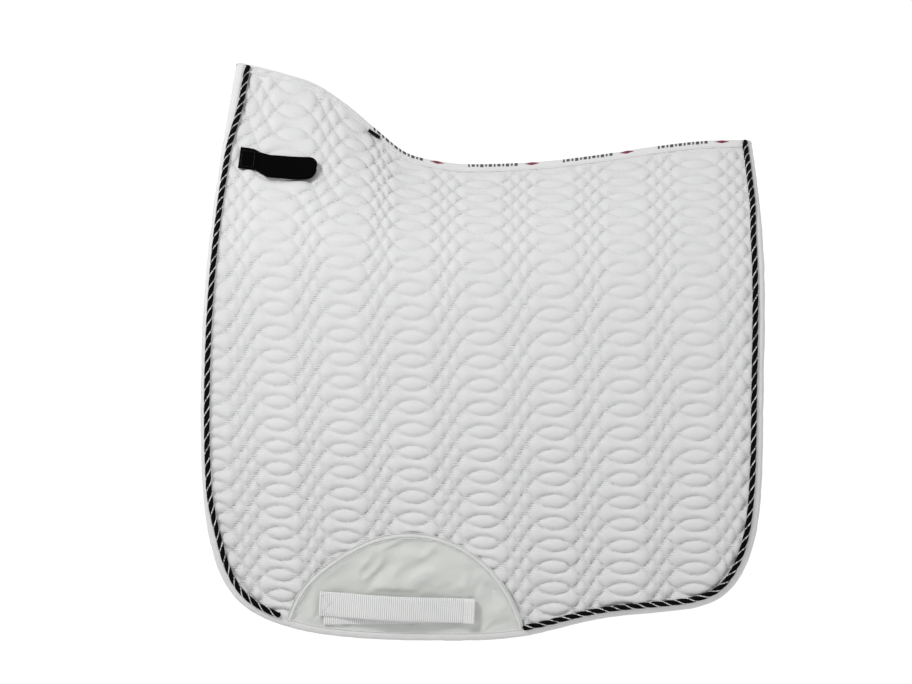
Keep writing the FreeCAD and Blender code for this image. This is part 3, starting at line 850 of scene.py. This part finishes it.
def build_quilt(word):
    """One padded panel: quilted face, wadding inside and the lining, as one closed form."""
    grid, margin = panel_grid()
    x, z = grid[..., 0], grid[..., 1]
    lift, row, column = relief(x, z)
    pressed = 1 - ramp(margin, 9 * MM, 15 * MM)
    lift = lift * (1 - pressed) + 0.1 * MM * pressed
    top = 1 - ramp(crown(x) - z - tape_drop(x), -1 * MM, 6 * MM)
    lift = lift * (1 - top) + 0.2 * MM * top
    lift = np.where(under_arch(x, z, 3 * MM), -2 * MM, lift)
    face = on_skin(x, z, lift)
    face[:, 0, 1] = -0.1 * MM
    every = (slice(None, None, 2), slice(None, None, 2))
    low_lift = relief(x[every], z[every])[0]
    low_press = pressed[every]
    depth = -QUILT_DEPTH - 0.5 * low_lift * (1 - low_press) + 1.5 * MM * low_press
    lining = on_skin(x[every], z[every], depth)
    lining[..., 1] = np.minimum(lining[..., 1], -0.1 * MM)
    m, n = face.shape[:2]
    a, b = lining.shape[:2]
    outer = grid_quads(m, n)
    inner = grid_quads(a, b, m * n)[:, ::-1]
    loop, under = grid_rim(m, n), grid_rim(a, b, m * n)
    rim = []
    for k in range(len(under)):
        p, q, r = loop[2 * k], loop[2 * k + 1], loop[(2 * k + 2) % len(loop)]
        s, t = under[k], under[(k + 1) % len(under)]
        rim += [(p, q, s), (q, t, s), (q, r, t)]
    verts = np.concatenate([face.reshape(-1, 3), lining.reshape(-1, 3)])
    faces = outer.tolist() + inner.tolist() + rim
    names = [f"{word}_{layer}_{part}" for layer in ("face", "wadding", "lining")
             for part in ("arch", "flap")]
    phases = [(name, np.concatenate([phase.ravel(), phase[every].ravel()]))
              for name, phase in (("quilt_row", row), ("quilt_column", column))]
    piece = add_piece(f"{word}_quilt", (verts, faces), "quilt lining", "quilt", across_fold(word),
                      names, phases, groups=[0] * len(outer) + [1] * len(inner) + [0] * len(rim))


def pattern_lines():
    """Side-view lines of the quilting, as (x, z) arrays."""
    xs = np.arange(-334, 332, 1.25) * MM
    shares = np.linspace(0, 1, 700)
    top = crown(xs) - 4 * MM
    zs = top[:, None] - shares[None] * (553 * MM + top)[:, None]
    row, column = pattern_place(np.repeat(xs[:, None], len(shares), 1), zs)
    found = []
    for sign in (1, -1):
        phase = row + sign * swing_at(column)
        for line in range(math.ceil(phase.min()), math.floor(phase.max()) + 1):
            place = [
                np.interp(line, phase[i], zs[i], left=np.nan, right=np.nan)
                if phase[i, 0] < phase[i, -1] else np.nan
                for i in range(len(xs))
            ]
            found.append(np.stack([xs, place], 1))
    return found


def build_quilting_thread(word, lines):
    """The lock stitch in every valley, clear of the trims that cover the quilt."""
    border = beside(EDGE, cord_inset(EDGE[:, 0], EDGE[:, 1]) + 2.5 * MM)
    polygon = np.concatenate([border, [[border[-1, 0], 0.3], [border[0, 0], 0.3]]])
    parts = []
    for line in lines:
        x, z = line[:, 0], line[:, 1]
        good = ~np.isnan(z)
        safe = np.where(good, z, 0)
        good &= inside(polygon, x, safe) & ~under_arch(x, safe, -2 * MM)
        good &= crown(x) - safe > tape_drop(x) + 3 * MM
        edges = np.flatnonzero(np.diff(np.concatenate([[0], good.astype(int), [0]])))
        for start, end in zip(edges[::2], edges[1::2]):
            if end - start < 8:
                continue
            x, z = line[start:end].T
            points, out = skin(x, z)
            points = points + out * (relief(x, z)[0] + 0.12 * MM)[:, None]
            parts.append(stitches_on(points, out, 3.5, 2.9, 0.32))
    add_piece(f"{word}_quilting_thread", joined(parts), "thread", "quilt", across_fold(word))


# --- edge binding and cords


def edge_frames(line):
    """3-D points, inward and outward directions along a side-view edge line."""
    points, out = skin(line[:, 0], line[:, 1])
    return points, unit(np.cross(out, tangents(points))), out


def build_binding(word):
    """Satin tape folded round the whole edge of a panel, with its topstitching."""
    points, inward, out = edge_frames(resample(clipped_edge(0.6 * MM), 900))
    turn = np.linspace(np.pi / 2, 3 * np.pi / 2, 9)
    reach = 3.6 * MM
    centre = -QUILT_DEPTH / 2 + 0.4 * MM

    def fold(tall, wide, foot):
        arc = np.stack([reach + wide * np.cos(turn), centre + tall * np.sin(turn)], 1)
        rises = ((0, 0.0), (0.6, 0.5), (1.7, -0.8), (2.8, 0.45), (4.2, 0.35))
        top = [(foot - back * MM, arc[0, 1] + rise * MM) for back, rise in rises]
        low = [((foot + reach) / 2, arc[-1, 1]), (foot, arc[-1, 1] + 0.3 * MM)]
        return np.concatenate([top, arc, low])

    outer = fold(4.75 * MM, 4.4 * MM, BINDING_WIDTH)
    inner = fold(3.85 * MM, 3.5 * MM, BINDING_WIDTH - 0.2 * MM)[::-1]
    section = np.repeat(np.concatenate([outer, inner])[None], len(points), 0)
    along = lengths_along(points)
    pulls = hills(11, along, 5.5, 3.3)
    waves = hills(12, along, 17, 1.7)
    swell = (0.22 * pulls + 0.25 * waves) * MM
    rows = np.linspace(0, 2.5, len(outer))
    for j in range(len(outer)):
        crease = hills(13, along + rows[j] * 9.8 * MM, 7, rows[j])
        normal = unit(outer[j] - np.array([reach + 3 * MM, centre]))
        section[:, j] += (swell + 0.22 * MM * crease)[:, None] * normal
    rings = strip_rings(points, inward, out, section)
    rings[..., 1] = np.minimum(rings[..., 1], -0.05 * MM)
    nodes = [f"{word}_{part}" for part in
             ("front_binding_arch", "rear_binding_arch", "binding_flap")]
    add_piece(f"{word}_edge_binding", tube(rings), "binding", "binding", across_fold(word), nodes)
    seam = points + inward * (BINDING_WIDTH - 1.7 * MM) + out * (centre + 4.3 * MM)
    keep = seam[:, 1] < -8 * MM
    stitches = stitches_on(seam[keep], out[keep], 3.3, 1.9, 0.4)
    add_piece(f"{word}_binding_thread", stitches, "thread", "binding", across_fold(word))


def cord_route(part):
    """Centre line of the front or rear edge cord, from the ridge down to its end."""
    line = beside(EDGE, cord_inset(EDGE[:, 0], EDGE[:, 1]))
    line = line[line[:, 1] < crown(line[:, 0]) - 0.8 * MM]
    if part == "front":
        return resample(line[line[:, 0] < -240 * MM], 1500)
    return resample(line[line[:, 0] > 46 * MM][::-1], 1500)


def build_cord(word, part):
    """A two-strand twisted cord sewn beside the binding, with a silver yarn in each groove."""
    line = cord_route(part)
    points, out = skin(line[:, 0], line[:, 1])
    centres = points + out * CORD_LIFT
    centres = resample(centres, int(lengths_along(centres)[-1] / (0.95 * MM)))
    flat = points_at(np.linspace(0, 1, len(centres)), np.linspace(0, 1, len(line)), line)
    out = skin(flat[:, 0], flat[:, 1])[1]
    along = tangents(centres)
    first = unit(np.cross(out, along))
    second = np.cross(along, first)
    s = lengths_along(centres)
    twist = 2 * np.pi * s / CORD_LAY
    around = np.arange(30) * 2 * np.pi / 30
    angle = around[None] + twist[:, None]
    lobes = np.abs(np.cos(around))[None]
    plies = np.cos(15 * around[None] - 2 * np.pi * s[:, None] / (2.6 * MM))
    end = np.minimum(s, s[-1] - s) / (2.4 * MM)
    taper = np.sqrt(np.clip(1 - (1 - np.clip(end, 0, 1))**2, 0.04, 1))[:, None]
    radius = (CORD_RADIUS * (0.76 + 0.24 * lobes**0.75) + 0.09 * MM * plies) * taper
    circle = np.stack([radius * np.cos(angle), radius * np.sin(angle)], -1)
    nodes = [f"{word}_{part}_cord_arch", f"{word}_{part}_cord_flap"]
    add_piece(f"{word}_{part}_cord", tube(strip_rings(centres, first, second, circle)), "cord",
              "cord", across_fold(word), nodes)
    yarns = []
    cut = slice(3, len(centres) - 3)
    ring = np.arange(6) * np.pi / 3
    beat = 1 + 0.22 * np.sin(2 * np.pi * s[cut] / (1.9 * MM))
    offsets = np.stack([np.cos(ring), np.sin(ring)], 1)[None] * (
        YARN_RADIUS * beat[:, None, None])
    for groove in (np.pi / 2, 3 * np.pi / 2):
        turn = (twist + groove)[cut][:, None]
        away = first[cut] * np.cos(turn) + second[cut] * np.sin(turn)
        middle = centres[cut] + away * CORD_RADIUS * 0.84
        across = unit(np.cross(tangents(middle), away))
        yarns.append(tube(strip_rings(middle, across, away, offsets)))
    add_piece(f"{word}_{part}_cord_yarn", joined(yarns), "silver", "cord", across_fold(word))


# --- girth patch


def patch_wrinkles(x, z):
    """Pulled folds that run up and to the rear, deepest towards the rear of the patch."""
    turn = math.radians(40)
    sway = 11 * MM * hills(25, x, 38, z, 30)
    along = x * math.cos(turn) + z * math.sin(turn)
    across = -x * math.sin(turn) + z * math.cos(turn) + sway
    fold = hills(21, along, 40, across, 17)
    cross = hills(24, along, 25, across, 13)
    fine = hills(22, x, 14, z, 9)
    strength = hills(26, x, 45, z, 40)
    ridge = 1 - np.abs(fold) * 2
    rearward = 0.8 + 0.35 * ramp(x, -190 * MM, -40 * MM) + 0.4 * strength
    return (2.1 * ridge + 1.8 * cross + 0.6 * fine - 1.3) * rearward * MM


def build_patch(word):
    """Smooth cloth over the foot of the flap where the girth rubs, and its folded tape."""
    across, down = 150, 84
    inset = BINDING_WIDTH - 2.5 * MM
    arch = beside(PATCH_ARCH, -PATCH_TAPE_WIDTH * 0.6)
    arch = resample(arch[arch[:, 1] > foot_height(arch[:, 0], inset)], across + 1)
    foot_x = np.linspace(arch[0, 0], arch[-1, 0], across + 1)
    foot = np.stack([foot_x, foot_height(foot_x, inset)], 1)
    v = np.linspace(0, 1, down + 1)[None, :, None]
    grid = arch[:, None] * (1 - v) + foot[:, None] * v
    x, z = grid[..., 0], grid[..., 1]
    tall = (arch[:, 1] - foot[:, 1])[:, None]
    calm = ramp(np.minimum(v[..., 0], 1 - v[..., 0]) * tall, 0, 14 * MM)
    here, rear, up, _ = seat_axes(STRAP_SEAT)
    point = on_skin(x, z, 0) - here
    beyond = np.abs(point @ up) - STRAP_WIDTH / 2
    beyond = np.maximum(beyond, np.maximum(-(point @ rear), point @ rear - STRAP_LENGTH))
    under_strap = 1 - ramp(beyond, 1 * MM, 9 * MM)
    lift = 0.3 * MM + patch_wrinkles(x, z) * calm
    lift = lift * (1 - under_strap) + np.minimum(lift, 0.1 * MM) * under_strap
    top = on_skin(x, z, lift + 0.4 * MM)
    low = on_skin(x, z, lift - 0.4 * MM)
    m, n = top.shape[:2]
    upper = grid_quads(m, n)
    lower = upper[:, ::-1] + m * n
    loop = np.array(grid_rim(m, n))
    after = np.roll(loop, -1)
    wall = np.stack([loop, after, after + m * n, loop + m * n], 1)
    verts = np.concatenate([top.reshape(-1, 3), low.reshape(-1, 3)])
    patch = add_piece(f"{word}_girth_patch_cloth", (verts, np.concatenate([upper, lower, wall])),
                      "patch", "patch", f"{word}_flap", [f"{word}_girth_patch"])
    trims = build_patch_tape(word)


def build_patch_tape(word):
    """The folded tape round the patch's arch, with two rows of topstitching."""
    line = resample(beside(PATCH_ARCH, -PATCH_TAPE_WIDTH / 2), 420)
    line = line[line[:, 1] > foot_height(line[:, 0], BINDING_WIDTH - 3 * MM)]
    points, inward, out = edge_frames(line)
    along = lengths_along(points)
    section = flat_section(PATCH_TAPE_WIDTH, 1.3 * MM, 4, 19)
    sections = np.repeat(section[None], len(line), 0)
    crown_up = (1 - (section[:, 0] / (PATCH_TAPE_WIDTH / 2))**2) * 0.45 * MM
    grooves = sum(np.exp(-((section[:, 0] - at) / (0.7 * MM))**2) for at in PATCH_TAPE_SEAMS)
    outer = section[:, 1] > 0
    sections[:, :, 1] += np.where(outer, crown_up - 1.25 * MM * grooves, 0)
    for j in np.flatnonzero(outer):
        pull = hills(31, along + section[j, 0], 6, j * 0.3)
        sections[:, j, 1] += 0.24 * MM * pull
    rings = strip_rings(points + out * 0.9 * MM, inward, out, sections)
    tape = add_piece(f"{word}_patch_tape", tube(rings), "patch_tape", "patch", f"{word}_flap",
                     [f"{word}_girth_patch_tape"])
    rows = [stitches_on(points + inward * at + out * 1.15 * MM, out, 3.2, 2.0, 0.5)
            for at in PATCH_TAPE_SEAMS]
    thread = add_piece(f"{word}_patch_thread", joined(rows), "thread", "patch", f"{word}_flap")
    return [tape, thread]


# --- girth strap


def webbing(line, outs, across_to, thick, smooth_from=None):
    """Ribbed webbing along a 3-D line: a flat section with a narrow groove between its ribs.

    Returns the shape and how far each vertex stands on a rib, from 0 to 1, by which the material
    paints shade into the grooves.
    """
    s = lengths_along(line)
    section = flat_section(STRAP_WIDTH, thick, 4, 7)
    rib = np.clip(np.abs(np.sin(np.pi * s / RIB_PITCH)) / 0.75, 0, 1)**0.8
    if smooth_from is not None:
        rib = 1 - (1 - rib) * (1 - 0.6 * ramp(s, smooth_from - MM, smooth_from))
    sections = np.repeat(section[None], len(line), 0)
    swell = np.clip(np.abs(section[:, 1]) / (thick / 2), 0, 1) * np.sign(section[:, 1])
    sections[:, :, 1] -= RIB_DEPTH * (1 - rib)[:, None] * swell[None]
    sections[:, :, 0] += 0.12 * MM * rib[:, None] * np.sign(section[:, 0])
    return tube(strip_rings(line, across_to, outs, sections)), np.repeat(rib, len(section))


def strap_route():
    """Outer webbing seen from its edge: along and off the seat, with the hem folded under."""
    stretch = np.array([0, 12, 24, 27, 33, 48, 70, 91, 112, 134, 148, 154, 162, 172, 183.2])
    share = np.clip((stretch - 26.8) / (154.5 - 26.8), 0, 1)
    lift = np.interp(stretch, (12, 48), (3.5, 5.95)) + 4.5 * np.sin(np.pi * share)**1.3
    route = resample(smooth_curve(np.stack([stretch, lift], 1) * MM), 440)
    turn = np.linspace(-np.pi / 2, np.pi / 2, 10)[1:]
    bend = route[-1] + 0.8 * MM * np.stack([np.cos(turn), 1 + np.sin(turn)], 1)
    hem = bend[-1] + np.stack([-np.linspace(0.3 * MM, STRAP_HEM, 30),
                               np.linspace(0, -0.05 * MM, 30)], 1)
    route = np.concatenate([route, bend, hem])
    along = lengths_along(route)
    at = np.arange(0, along[-1], 0.35 * MM)
    return points_at(at, along, route), at[-1]


def build_girth_strap(word):
    """Ribbed base webbing on the patch and the outer webbing that closes over the girth."""
    axes = here, rear, up, out = seat_axes(STRAP_SEAT)
    base_rear, base_up = turned(rear, up, STRAP_BASE_TURN)
    start = here + rear * 5.5 * MM - up * 11.5 * MM + out * 2.0 * MM
    line = start + base_rear * np.arange(0, STRAP_BASE_LENGTH, 0.35 * MM)[:, None]
    shape, rib = webbing(line, out, base_up, 1.4 * MM)
    add_piece(f"{word}_strap_base", shape, "webbing", "webbing", f"{word}_flap",
              [f"{word}_girth_strap_base"], [("rib", rib)])
    route, end = strap_route()
    lead = tangents(route)
    line = here + rear * route[:, :1] + out * route[:, 1:]
    outs = out * lead[:, :1] - rear * lead[:, 1:]
    shape, rib = webbing(line, outs, up, 1.35 * MM, end - STRAP_HEM)
    hinge = across_hinge(axes, (23 * MM, 31 * MM), 5 * MM, f"{word}_flap",
                        f"{word}_girth_strap")
    add_piece(f"{word}_strap_outer", shape, "webbing", "webbing", hinge,
              [f"{word}_girth_strap_end", f"{word}_girth_strap_flap"], [("rib", rib)])
    box = [(3, -11.5), (22, -11.5), (22, 11.5), (3, 11.5), (3, -11.5)]
    sewn = [*zip(box, box[1:]), (box[0], box[2]), (box[1], box[3])]
    hem = [[(at, -12), (at, 12)] for at in (173.5, 176.5, 181)]
    for part, runs, lift, body in (("box", sewn, 4.3 * MM, f"{word}_flap"),
                                   ("hem", hem, 8.3 * MM, f"{word}_girth_strap")):
        stitches = stitch_runs(axes, runs, lift, 2.9, 2.2, 0.3)
        add_piece(f"{word}_strap_{part}_thread", stitches, "thread", "webbing", body)
    for part in ("loop", "hook"):
        node = frame["nodes"][f"{word}_girth_strap_{part}"]
        node.data.materials.clear()
        node.data.materials.append(MATERIALS["white_fastener"])


# --- black tab


def tab_middle(a):
    """Upward place of the middle of the tab's tongue, at a along it."""
    return -6.0 * MM + 0.075 * (a - 8 * MM)


def build_tab(word):
    """The black hook-and-loop tab by the front edge: sewn base, neck and rounded tongue."""
    axes = here, rear, up, out = seat_axes(TAB_SEAT)
    a = np.linspace(-TAB_BASE, TAB_LENGTH, 150)
    a = np.concatenate([a, TAB_LENGTH - np.geomspace(8, 0.02, 26) * MM])
    a = np.unique(np.round(a, 6))
    tongue = ramp(a, -11 * MM, 13 * MM)
    middle = (3.6 - 9.6 * tongue) * MM + 0.075 * np.clip(a - 8 * MM, 0, None)
    half = (15.2 + 1.0 * tongue) * MM - 1.5 * MM * np.exp(-((a + 1 * MM) / (8 * MM))**2)
    tip = np.clip((a - (TAB_LENGTH - TAB_TIP_RADIUS)) / TAB_TIP_RADIUS, 0, 1)
    half -= TAB_TIP_RADIUS * (1 - np.sqrt(1 - tip**2))
    lift = 1.2 * MM + 2.45 * MM * ramp(a, -3 * MM, 6 * MM)
    lift += 2.2 * MM * np.clip((a - 30 * MM) / (37 * MM), 0, 1)**2
    lift += 0.35 * MM * np.sin(a / (9 * MM))
    section = flat_section(2.0, TAB_THICK, 5, 9)
    body = np.clip(section[:, 0], TAB_THICK / 2 - 1, 1 - TAB_THICK / 2)
    across = body / (1 - TAB_THICK / 2) * (half[:, None] - TAB_THICK / 2) + section[:, 0] - body
    curl = 0.6 * MM * (across / (TAB_WIDTH / 2))**2 * ramp(a, 10 * MM, 60 * MM)[:, None]
    centres = here + rear * a[:, None] + up * middle[:, None] + out * lift[:, None]
    rings = strip_rings(centres, up, out, np.stack([across, section[:, 1] - curl], -1))
    hinge = across_hinge(axes, (-5 * MM, 5 * MM), 3 * MM, "back_arch", f"{word}_tab")
    add_piece(f"{word}_tab_webbing", tube(rings), "black", "black_webbing", hinge,
              [f"{word}_tab_base", f"{word}_tab_tongue"])
    box = [(-23, -8.5), (-8, -8.5), (-8, 13.5), (-23, 13.5), (-23, -8.5)]
    stitches = stitch_runs(axes, zip(box, box[1:]), 1.95 * MM, 3.0, 2.2, 0.28)
    add_piece(f"{word}_tab_thread", stitches, "black_thread", "black_webbing", "back_arch")
    section = flat_section(24 * MM, 0.9 * MM, 4, 5)
    at = np.linspace(*TAB_CLOSURE, 20)
    for kind, level, climb, body in (("loop", 1.0, 0, "back_arch"),
                                     ("hook", 2.3, 1.2, f"{word}_tab")):
        rise = (level + climb * ramp(at, 34 * MM, 62 * MM)) * MM
        line = (here + rear * at[:, None] + up * tab_middle(at)[:, None]
                + out * rise[:, None])
        add_piece(f"{word}_tab_{kind}_tape", tube(strip_rings(line, up, out, section)),
                  "black_fastener", "black_hook_loop", body, [f"{word}_tab_{kind}"])


# --- spine tapes and label


def over_ridge(x, lift, drop):
    """Points over the ridge at each x, from drop below it on the left to drop on the right."""
    top = crown(x)
    left = np.stack([on_skin(x, top - drop * share, lift) for share in np.linspace(1, 0, 7)], 1)
    ridge = left[:, -1:].copy()
    ridge[..., 1] = 0
    right = left[:, :-1][:, ::-1] * np.array([1, -1, 1])
    return np.concatenate([left[:, :-1], ridge, right], 1)


def build_spine_tape(name, x, low, high, drop):
    """A tape bent over or under the spine, as a closed strip."""
    ripple = 0.12 * MM * hills(41, x, 7, 0.5)
    drop = drop + 0.5 * MM * hills(42, x, 60, 2.5)
    outer = over_ridge(x, high + ripple, drop)
    inner = over_ridge(x, low + 0 * x, drop)
    rings = np.concatenate([outer, inner[:, ::-1]], 1)
    add_piece(name + "_cloth", tube(rings), "spine", "binding", "back_arch", stands_for=[name])


def build_spine():
    """Outer and inner spine tapes between the cords, their stitching, motif and label."""
    line = clipped_edge(0)
    x = np.arange(line[0, 0] + 14 * MM, line[-1, 0] - 9 * MM, 1.5 * MM)
    build_spine_tape("spine_tape_outer", x, 0.25 * MM, 1.35 * MM, tape_drop(x))
    build_spine_tape("spine_tape_inner", x, -QUILT_DEPTH - 1.4 * MM, -QUILT_DEPTH - 0.3 * MM,
                     SPINE_TAPE_DROP)
    level = crown(x) - tape_drop(x) + 1.4 * MM
    seam = on_skin(x, level, 1.42 * MM)
    out = skin(x, level)[1]
    rows = [stitches_on(seam * flip, out * flip, 3.4, 2.5, 0.3)
            for flip in (np.array([1, 1, 1]), np.array([1, -1, 1]))]
    add_piece("spine_tape_thread", joined(rows), "thread", "binding", "back_arch")
    build_motif()
    build_label()


def motif_plate(x, corners, turn):
    """A thin plate on the spine tape, on the left for turn 1 and on the right for turn -1."""
    flip = np.array([1, turn, 1])
    cx, cz = np.array(corners).T
    cx = x + cx
    cz = np.minimum(crown(cx) - 1.7 * MM + cz, crown(cx) - 0.2 * MM)
    verts = np.concatenate([on_skin(cx, cz, lift) * flip for lift in (1.62 * MM, 1.2 * MM)])
    faces = [(3, 2, 1, 0), (4, 5, 6, 7)] + [
        (i, (i + 1) % 4, (i + 1) % 4 + 4, i + 4) for i in range(4)]
    return verts, [face[::turn] for face in faces]


def build_motif():
    """A plain woven pattern on the spine tape: groups of short bars and a small diamond."""
    bars, stones = [], []
    start, pitch = -130 * MM, 113 * MM
    wide, tall = 8.6 * MM, 1.9 * MM
    diamond = [(0, -tall), (wide, 0), (0, tall), (-wide, 0)]
    for group in range(4):
        first = start + group * pitch
        for turn in (1, -1):
            for bar in range(12):
                tall = (1.9, 1.4, 1.6)[bar % 3] * MM
                wide = (1.0, 1.8)[bar % 2] * MM
                block = [(-wide, -tall), (wide, -tall), (wide, tall), (-wide, tall)]
                bars.append(motif_plate(first + bar * 5.1 * MM, block, turn))
            stones.append(motif_plate(first + 75 * MM, diamond, turn))
    for name, parts, key in (("spine_motif_bars", bars, "dash"),
                             ("spine_motif_diamonds", stones, "diamond")):
        add_piece(name, joined(parts), key, "binding", "back_arch", smooth=False)


def build_label():
    """A blank woven loop label caught under the near edge of the spine tape."""
    here, rear, up, out = seat_axes(LABEL_SEAT)
    path = [(0, 1.0), (0.4, 2.4), (1.4, 3.0), (2.6, 3.0), (4.9, 2.7), (5.5, 2.1), (4.9, 1.4),
            (2.8, 1.4), (1.4, 1.3), (0.6, 1.0)]
    line = resample(smooth_curve(np.array(path) * MM), 60)
    lead = tangents(line)
    centres = (here + up * (LABEL_WIDTH / 2 - line[:, :1]) + out * line[:, 1:]
               + rear * LABEL_LENGTH / 2)
    outs = out * lead[:, :1] + up * lead[:, 1:]
    section = flat_section(LABEL_LENGTH, 0.5 * MM, 3, 12)
    add_piece("spine_label_cloth", tube(strip_rings(centres, rear, outs, section)), "label",
              "woven_label", "back_arch", stands_for=["spine_label"])


# --- stage, light and camera

FLOOR_LEVEL = -0.85
FLOOR_RADIUS = 6
VIEW_CENTRE = (-32.4 * MM, -197 * MM)
VIEW_WIDTH = 1.076
CAMERA_DISTANCE = 16.0
SENSOR = 36.0
WORLD_LOW = 0.11
WORLD_HIGH = 0.50
BACKDROP = 0.8
SEEN_WHITE = 1.05


def build_floor():
    """A plain pale floor well below the pad."""
    turns = np.linspace(0, 2 * np.pi, 49)[:-1]
    verts = np.stack([np.cos(turns), np.sin(turns), 0 * turns], 1) * FLOOR_RADIUS
    verts = np.concatenate([[[0, 0, 0]], verts]) + np.array([0, 0, FLOOR_LEVEL])
    faces = [(0, i + 1, (i + 1) % len(turns) + 1) for i in range(len(turns))]
    n = Nodes("studio_floor")
    material = n.finish(n.noise(3, 2), (0.74, 0.74, 0.74), (0.77, 0.77, 0.77), (0.85, 0.95),
                        rough_factor=n.noise(6, 2), specular=0.1)
    mesh_piece("studio_floor", verts, faces, [material], smooth=False)


def build_world():
    """Graded studio light, brighter above and behind the pad, and white where it is seen."""
    world = bpy.data.worlds.new("studio")
    bpy.context.scene.world = world
    world.use_nodes = True
    w = Tree(world.node_tree)
    lit, seen = w.tree.nodes["Background"], w.add("ShaderNodeBackground")
    split = w.add("ShaderNodeSeparateXYZ")
    w.link(w.add("ShaderNodeTexCoord").outputs["Generated"], split.inputs[0])
    grade = w.span(split.outputs["Z"], -0.15, 0.85, WORLD_LOW, WORLD_HIGH, "LINEAR")
    backdrop = w.span(split.outputs["Y"], -0.05, 0.25, 0, BACKDROP, "LINEAR")
    for node, strength in ((lit, w.math("MAXIMUM", grade, backdrop)), (seen, SEEN_WHITE)):
        w.feed(node, (1, 1, 1, 1), strength)
    path = w.add("ShaderNodeLightPath").outputs["Is Camera Ray"]
    mix = w.feed(w.add("ShaderNodeMixShader"), path, lit.outputs[0], seen.outputs[0])
    w.link(mix, w.tree.nodes["World Output"].inputs["Surface"])


def soft_light(name, place, size, power):
    light = bpy.data.lights.new(name, "AREA")
    light.shape = "DISK"
    light.size = size
    light.energy = power
    lamp = bpy.data.objects.new(name, light)
    bpy.context.scene.collection.objects.link(lamp)
    lamp.location = place
    aim = Vector((0, -0.08, -0.2)) - Vector(place)
    lamp.rotation_euler = aim.to_track_quat("-Z", "Y").to_euler()


def build_camera():
    """A level side-on camera, far enough away to see the pad almost without perspective."""
    camera = bpy.data.objects.new("camera", bpy.data.cameras.new("camera"))
    bpy.context.scene.collection.objects.link(camera)
    camera.data.sensor_width = SENSOR
    camera.data.lens = SENSOR * CAMERA_DISTANCE / VIEW_WIDTH
    camera.data.clip_end = 60
    camera.location = (VIEW_CENTRE[0], -HALF_WIDTH - CAMERA_DISTANCE, VIEW_CENTRE[1])
    camera.rotation_euler = (math.pi / 2, 0, 0)
    bpy.context.scene.camera = camera
    bpy.context.scene.view_settings.view_transform = "Standard"


# --- the whole pad

build_floor()
build_world()
soft_light("key", (-1.5, -2.05, 1.35), 0.7, 46)
soft_light("fill", (2.2, -1.5, 0.0), 1.0, 8)
soft_light("back_fill", (0.8, 2.8, 1.0), 1.6, 8)
build_camera()
MATERIALS = make_materials()
QUILTING = pattern_lines()
for word in ("left", "right"):
    build_quilt(word)
    build_quilting_thread(word, QUILTING)
    build_binding(word)
    for part in ("front", "rear"):
        build_cord(word, part)
    build_patch(word)
    build_girth_strap(word)
    build_tab(word)
build_spine()
